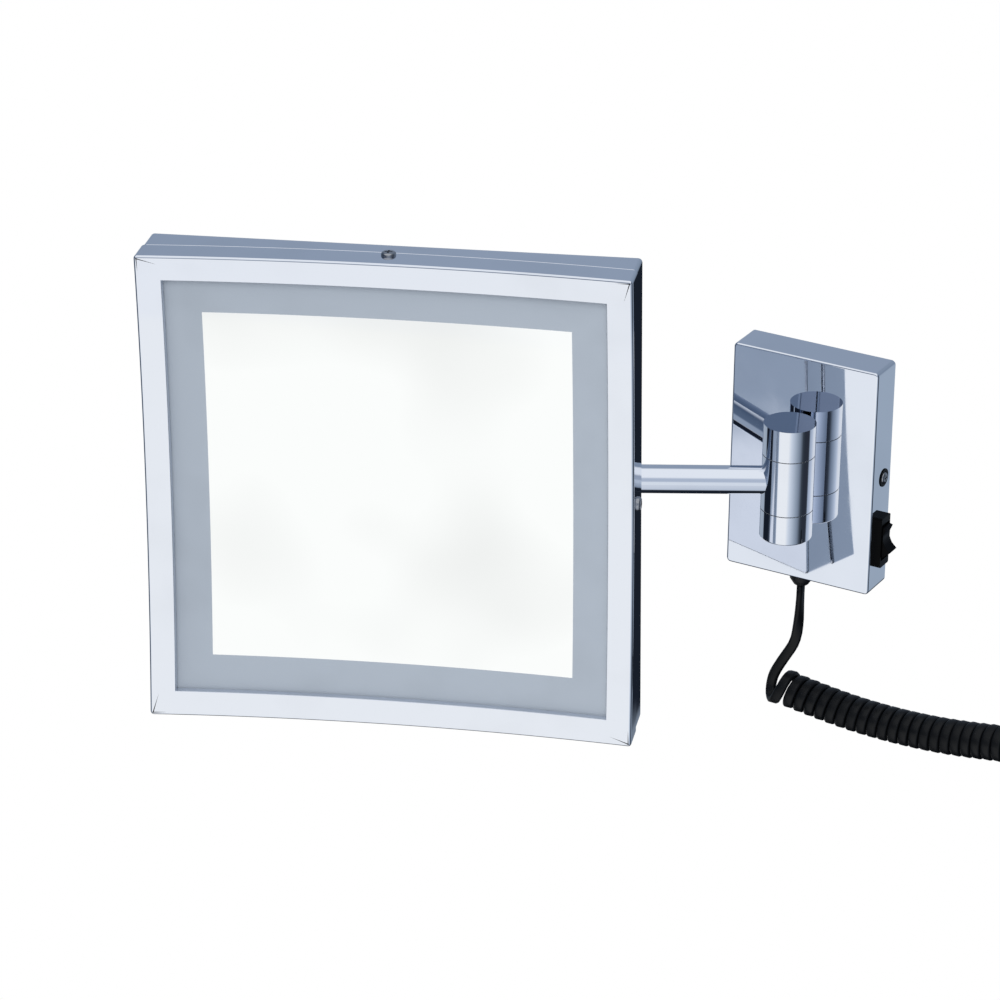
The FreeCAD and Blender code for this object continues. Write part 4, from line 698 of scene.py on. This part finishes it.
def cross_screw(name, radius, height, shank):
    """A domed cross-head screw that points up, with its washer face at the origin."""
    bpy.ops.object.select_all(action="DESELECT")
    bpy.ops.mesh.primitive_cylinder_add(
        vertices=48, radius=radius, depth=height, location=(0, 0, height / 2),
    )
    head = bpy.context.object
    head.name = name
    bpy.ops.object.transform_apply(location=True, rotation=True, scale=True)
    bpy.ops.object.mode_set(mode="EDIT")
    work = bmesh.from_edit_mesh(head.data)
    for edge in work.edges:
        edge.select_set(all(v.co.z > height - 1e-5 for v in edge.verts))
    bmesh.update_edit_mesh(head.data)
    bpy.ops.mesh.bevel(offset=height * 0.75, segments=5)
    bpy.ops.object.mode_set(mode="OBJECT")
    for turn in (0, 90):
        bpy.ops.object.select_all(action="DESELECT")
        bpy.ops.mesh.primitive_cube_add(
            size=1, location=(0, 0, height), rotation=(0, 0, math.radians(turn)),
        )
        blade = bpy.context.object
        blade.scale = (radius * 1.05, radius * 0.26, height * 1.1)
        bpy.ops.object.transform_apply(location=True, rotation=True, scale=True)
        bpy.context.view_layer.objects.active = head
        slot = head.modifiers.new("slot", "BOOLEAN")
        slot.operation = "DIFFERENCE"
        slot.solver = "EXACT"
        slot.object = blade
        bpy.ops.object.modifier_apply(modifier=slot.name)
        bpy.data.objects.remove(blade)
    bpy.ops.object.select_all(action="DESELECT")
    bpy.ops.mesh.primitive_cylinder_add(
        vertices=32, radius=radius * 0.5, depth=shank, location=(0, 0, -shank / 2),
    )
    bpy.ops.object.transform_apply(location=True, rotation=True, scale=True)
    head.select_set(True)
    bpy.context.view_layer.objects.active = head
    bpy.ops.object.join()
    return head


def set_screws(name, body, node, pattern, places):
    """Copies of a screw, each with its own mesh, joined into one piece at their places."""
    copies = []
    for place in places:
        one = pattern.copy()
        one.data = pattern.data.copy()
        bpy.context.scene.collection.objects.link(one)
        one.data.transform(place)
        copies.append(one)
    bpy.data.objects.remove(pattern)
    bpy.ops.object.select_all(action="DESELECT")
    for one in copies:
        one.select_set(True)
    bpy.context.view_layer.objects.active = copies[0]
    bpy.ops.object.join()
    copies[0].name = name
    bpy.ops.object.shade_smooth_by_angle(angle=math.radians(35))
    copies[0].data.materials.append(satin_steel)
    copies[0].select_set(False)
    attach(copies[0], body)
    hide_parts(node)


cup_low, cup_high = (Vector(corner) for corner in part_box("cup_washers"))
screw_height = (cup_low.z + cup_high.z) / 2
screw_depth = (cup_low.y + cup_high.y) / 2
screw_reach, screw_shank = 0.0350, 0.004
pan_screw = cross_screw("pan", 0.0026, 0.0014, screw_shank)
set_screws("cross_head_screws", "wall_unit", "side_screws", pan_screw, [
    Matrix.Translation((side * screw_reach, screw_depth, screw_height))
    @ Matrix.Rotation(side * math.pi / 2, 4, "Y")
    for side in (1, -1)
])

# The head's frame
# Cast in zinc alloy, ground, polished and chromed. Its broad border is dished like the glass, and
# its four side walls run straight back to the joint with the casing.
dish_radius = 0.997
hair = 1e-5
head_yaw, head_tilt, head_roll = (math.radians(a) for a in (19.3, -2.2, -1.55))
pin_to_hinge, hinge_to_front, head_rise = 0.0155, 0.0267, 0.0091
head_place = (
    Matrix.Translation(arm_tip)
    @ Matrix.Rotation(head_yaw, 4, "Z")
    @ Matrix.Translation((0, -pin_to_hinge, 0))
    @ Matrix.Rotation(head_tilt, 4, "X")
    @ Matrix.Translation((0, -hinge_to_front, head_rise))
    @ Matrix.Rotation(head_roll, 4, "Y")
)


def square_sheet(name, half, border):
    """A square sheet with a marked border that faces the front, left open for shaping."""
    bpy.ops.object.select_all(action="DESELECT")
    bpy.ops.mesh.primitive_plane_add(size=2 * half, rotation=(math.pi / 2, 0, 0))
    sheet = bpy.context.object
    sheet.name = name
    bpy.ops.object.transform_apply(location=True, rotation=True, scale=True)
    bpy.ops.object.mode_set(mode="EDIT")
    bpy.ops.mesh.select_all(action="SELECT")
    if border:
        bpy.ops.mesh.inset(thickness=border, depth=0)
    return sheet


def pick_edges(piece, chosen):
    """Selects only the edges that the given test accepts."""
    bpy.ops.mesh.select_mode(type="EDGE")
    bpy.ops.mesh.select_all(action="DESELECT")
    work = bmesh.from_edit_mesh(piece.data)
    for edge in work.edges:
        edge.select_set(bool(chosen(edge, edge.verts[0].co, edge.verts[1].co)))
    bmesh.update_edit_mesh(piece.data)


def reach_of(point):
    """How far out a point lies on the square, whichever side it is on."""
    return max(abs(point.x), abs(point.z))


def dish_rise(point):
    """How far the dish stands forward of its middle at a point."""
    return dish_radius - math.sqrt(dish_radius ** 2 - (point.x ** 2 + point.z ** 2))


def upright_corner(a, b):
    """Whether an edge from a to b runs straight back."""
    return abs(a.x - b.x) + abs(a.z - b.z) < hair


def press_dish(sheet):
    """Bends a flat sheet to the dish and carries it to the head's place."""
    for v in sheet.data.vertices:
        v.co.y -= dish_rise(v.co)
    sheet.data.transform(head_place)
    sheet.data.update()


head_half, border_width, frame_deep, lip_thick, cast_wall = 0.1076, 0.01145, 0.0149, 0.00336, 0.0016
outer_rim, inner_rim = 0.107, 0.097
long_edge, longer_than_bevel = 0.1, 0.008
dish_cuts = 31
border_ring = square_sheet("head_frame", head_half, border_width)
bpy.ops.mesh.select_all(action="SELECT")
work = bmesh.from_edit_mesh(border_ring.data)
for face in work.faces:
    face.select_set(all(reach_of(v.co) < inner_rim for v in face.verts))
bpy.ops.mesh.delete(type="FACE")
pick_edges(border_ring, lambda e, a, b: e.is_boundary and min(reach_of(a), reach_of(b)) > outer_rim)
bpy.ops.mesh.extrude_region_move(TRANSFORM_OT_translate={"value": (0, frame_deep, 0)})
shrink = (head_half - cast_wall) / head_half
bpy.ops.mesh.extrude_region_move()
bpy.ops.transform.resize(value=(shrink, 1, shrink), center_override=(0, 0, 0))
bpy.ops.mesh.extrude_region_move(TRANSFORM_OT_translate={"value": (0, lip_thick - frame_deep, 0)})
pick_edges(border_ring, lambda e, a, b: e.is_boundary and max(reach_of(a), reach_of(b)) < inner_rim)
bpy.ops.mesh.extrude_region_move(TRANSFORM_OT_translate={"value": (0, lip_thick, 0)})
pick_edges(border_ring, lambda e, a, b: e.is_boundary)
bpy.ops.mesh.bridge_edge_loops()
pick_edges(border_ring, lambda e, a, b: min(reach_of(a), reach_of(b)) > head_half - hair
           and upright_corner(a, b))
bpy.ops.mesh.bevel(offset=0.0016, segments=4)
for depth, eased, inner in ((0, 0.0014, False), (frame_deep, 0.0007, False), (0, 0.0002, True)):
    pick_edges(border_ring, lambda e, a, b: max(abs(a.y - depth), abs(b.y - depth)) < hair
               and (reach_of(a) < inner_rim if inner else reach_of(a) > outer_rim - 0.0005)
               and len(e.link_faces) == 2 and e.calc_face_angle() > 1)
    bpy.ops.mesh.bevel(offset=eased, segments=5)
pick_edges(border_ring, lambda e, a, b: (a - b).length > long_edge)
bpy.ops.mesh.subdivide(number_cuts=dish_cuts)
pick_edges(border_ring, lambda e, a, b: (a - b).length > longer_than_bevel
           and max(abs(a.y), abs(b.y)) < hair)
bpy.ops.mesh.subdivide(number_cuts=3)
bpy.ops.mesh.select_all(action="SELECT")
bpy.ops.mesh.normals_make_consistent(inside=False)
bpy.ops.object.mode_set(mode="OBJECT")
press_dish(border_ring)
complete(border_ring, "head", "front_frame", angle=30)
# The dished faces are shaded as the true ball shape, so that the border reflects without facets.
ball_centre = head_place @ Vector((0, -dish_radius, 0))
on_ball = 2e-6
normals = [c.vector.copy() for c in border_ring.data.corner_normals]
for face in border_ring.data.polygons:
    spots = [border_ring.data.vertices[i].co for i in face.vertices]
    if all(abs((ball_centre - spot).length - dish_radius) < on_ball for spot in spots):
        for corner, spot in zip(face.loop_indices, spots):
            normals[corner] = (ball_centre - spot).normalized()
border_ring.data.normals_split_custom_set(normals)

# The mirror glass
# Three millimetres of glass, slumped to the dish and silvered. The silver is left out of an even band
# along the edge, which is frosted so that the opal sheet behind it can shine through.
silver_group, given, made = group_of(
    "silver", (("Gloss Low", 0.0), ("Gloss High", 0.02)), ("Roughness", "Height")
)
drift = silver_group.nodes.new("ShaderNodeTexNoise")
drift.inputs["Scale"].default_value = 8
drift.inputs["Detail"].default_value = 0
spread = silver_group.nodes.new("ShaderNodeMapRange")
silver_group.links.new(given.outputs["Place"], drift.inputs["Vector"])
silver_group.links.new(drift.outputs["Fac"], spread.inputs["Value"])
silver_group.links.new(given.outputs["Gloss Low"], spread.inputs["To Min"])
silver_group.links.new(given.outputs["Gloss High"], spread.inputs["To Max"])
silver_group.links.new(spread.outputs[0], made.inputs["Roughness"])
silver_group.links.new(drift.outputs["Fac"], made.inputs["Height"])
# The soft grey patches that cloud_size and tint put into the silver's colour are painted reflection of
# the grey room that the mirror shows.
silvered = finish(
    "silvered_glass", silver_group, {"Gloss Low": 0.0, "Gloss High": 0.015}, (252, 253, 252),
    metallic=1.0, bump=0.01, depth=0.0001, tint=0.1, cloud_size=7, Coat_Weight=0.3, Coat_Roughness=0.01,
)
frosted = finish(
    "frosted_glass", skin_group, {"Grain Size": 2600, "Gloss Low": 0.36, "Gloss High": 0.44},
    (176, 184, 193), bump=0.06, tint=0.03, Coat_Weight=0.2, Coat_Roughness=0.05,
)
glass_half, clear_half, glass_thick, glass_set_back = 0.105, 0.0803, 0.003, 0.00386
glass = square_sheet("dished_glass", glass_half, glass_half - clear_half)
bpy.ops.mesh.select_all(action="SELECT")
bpy.ops.mesh.subdivide(number_cuts=dish_cuts)
bpy.ops.object.mode_set(mode="OBJECT")
glass.data.materials.append(frosted)
glass.data.materials.append(silvered)
for face in glass.data.polygons:
    face.material_index = int(reach_of(face.center) < clear_half)
for v in glass.data.vertices:
    v.co.y += glass_set_back
press_dish(glass)
pane = glass.modifiers.new("pane", "SOLIDIFY")
pane.thickness = glass_thick
pane.offset = -1
bpy.ops.object.modifier_apply(modifier=pane.name)
bpy.ops.object.shade_smooth_by_angle(angle=math.radians(30))
glass.select_set(False)
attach(glass, "head")
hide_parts("mirror_glass")

# The casing and what is inside the head
# A tray deep-drawn from brass sheet and chromed closes the head from behind; between it and the
# glass are the opal sheet, the light strips and foam pads.
tray_half, tray_back, tray_wall, seam = head_half - 0.0004, 0.020, 0.0012, 0.0005
casing = square_sheet("casing", tray_half, 0)
pick_edges(casing, lambda e, a, b: True)
bpy.ops.mesh.extrude_region_move(TRANSFORM_OT_translate={"value": (0, -tray_back, 0)})
bpy.ops.object.mode_set(mode="OBJECT")
shell = bmesh.new()
shell.from_mesh(casing.data)
bmesh.ops.delete(
    shell, geom=[f for f in shell.faces if all(v.co.y < -tray_back + hair for v in f.verts)],
    context="FACES_ONLY",
)
shell.to_mesh(casing.data)
shell.free()
bpy.ops.object.mode_set(mode="EDIT")
shrink = (tray_half - tray_wall) / tray_half
pick_edges(casing, lambda e, a, b: e.is_boundary)
bpy.ops.mesh.extrude_region_move()
bpy.ops.transform.resize(value=(shrink, 1, shrink), center_override=(0, 0, 0))
bpy.ops.mesh.extrude_region_move(TRANSFORM_OT_translate={"value": (0, tray_back - tray_wall, 0)})
bpy.ops.mesh.edge_face_add()
pick_edges(casing, lambda e, a, b: min(reach_of(a), reach_of(b)) > tray_half - hair
           and upright_corner(a, b))
bpy.ops.mesh.bevel(offset=0.0018, segments=4)
for depth, eased in ((0, 0.001), (-tray_back, 0.0011)):
    pick_edges(casing, lambda e, a, b: max(abs(a.y - depth), abs(b.y - depth)) < hair
               and min(reach_of(a), reach_of(b)) > tray_half - 0.001
               and len(e.link_faces) == 2 and e.calc_face_angle() > 1)
    bpy.ops.mesh.bevel(offset=eased, segments=4)
pick_edges(casing, lambda e, a, b: (a - b).length > long_edge)
bpy.ops.mesh.subdivide(number_cuts=dish_cuts)
bpy.ops.mesh.select_all(action="SELECT")
bpy.ops.transform.translate(value=(0, tray_back, 0))
bpy.ops.mesh.normals_make_consistent(inside=False)
bpy.ops.object.mode_set(mode="OBJECT")
front_zone = 0.002
for v in casing.data.vertices:
    if v.co.y < front_zone:
        v.co.y += frame_deep + seam - dish_rise(v.co)
casing.data.transform(head_place)
complete(casing, "head", "rear_casing", angle=30)
border_screw_depth = 0.0059
dome_screw = cross_screw("dome", 0.00325, 0.0015, screw_shank)
set_screws("border_screws", "head", "frame_screws", dome_screw, [
    head_place
    @ Matrix.Rotation(math.radians(turn), 4, "Y")
    @ Matrix.Translation((0, border_screw_depth, head_half))
    for turn in (0, 90, 180, 270)
])
dress(satin_steel, "hinge_screws")
foam = finish(
    "black_foam", skin_group, {"Grain Size": 1600, "Gloss Low": 0.85, "Gloss High": 0.95},
    (34, 34, 36), bump=0.6, tint=0.3,
)
dress(foam, "glass_gasket", "foam_pads")
opal = finish(
    "opal_sheet", skin_group, {"Grain Size": 800, "Gloss Low": 0.4, "Gloss High": 0.5},
    (226, 230, 234), bump=0.03, tint=0.02,
)
dress(opal, "diffuser")
white_board = finish(
    "white_board", skin_group, {"Grain Size": 400, "Gloss Low": 0.25, "Gloss High": 0.4},
    (228, 230, 228), bump=0.1, tint=0.05,
)
dress(white_board, "light_strips", "lead_connector")
phosphor = finish(
    "phosphor", skin_group, {"Grain Size": 900, "Gloss Low": 0.2, "Gloss High": 0.3},
    (236, 216, 120), bump=0.1, tint=0.1,
)
dress(phosphor, "light_chips")

# The electrics inside the box
# A moulded driver tray with its green board, taped transformer and capacitor, a white terminal
# block, and the thin lead that runs along the arm.
white_plastic = finish(
    "white_plastic", skin_group, {"Grain Size": 700, "Gloss Low": 0.3, "Gloss High": 0.45},
    (224, 224, 220), bump=0.08, tint=0.04,
)
dress(white_plastic, "driver_case", "terminal_block", "arm_lead")
green_board = finish(
    "green_board", skin_group, {"Grain Size": 300, "Gloss Low": 0.2, "Gloss High": 0.35},
    (30, 96, 52), bump=0.15, tint=0.25,
)
dress(green_board, "driver_board")
yellow_tape = finish(
    "yellow_tape", skin_group, {"Grain Size": 500, "Gloss Low": 0.25, "Gloss High": 0.4},
    (214, 178, 60), bump=0.1, tint=0.15,
)
dress(yellow_tape, "driver_coil")
blue_sleeve = finish(
    "blue_sleeve", skin_group, {"Grain Size": 500, "Gloss Low": 0.15, "Gloss High": 0.3},
    (40, 46, 88), bump=0.05, tint=0.1,
)
dress(blue_sleeve, "driver_capacitor")
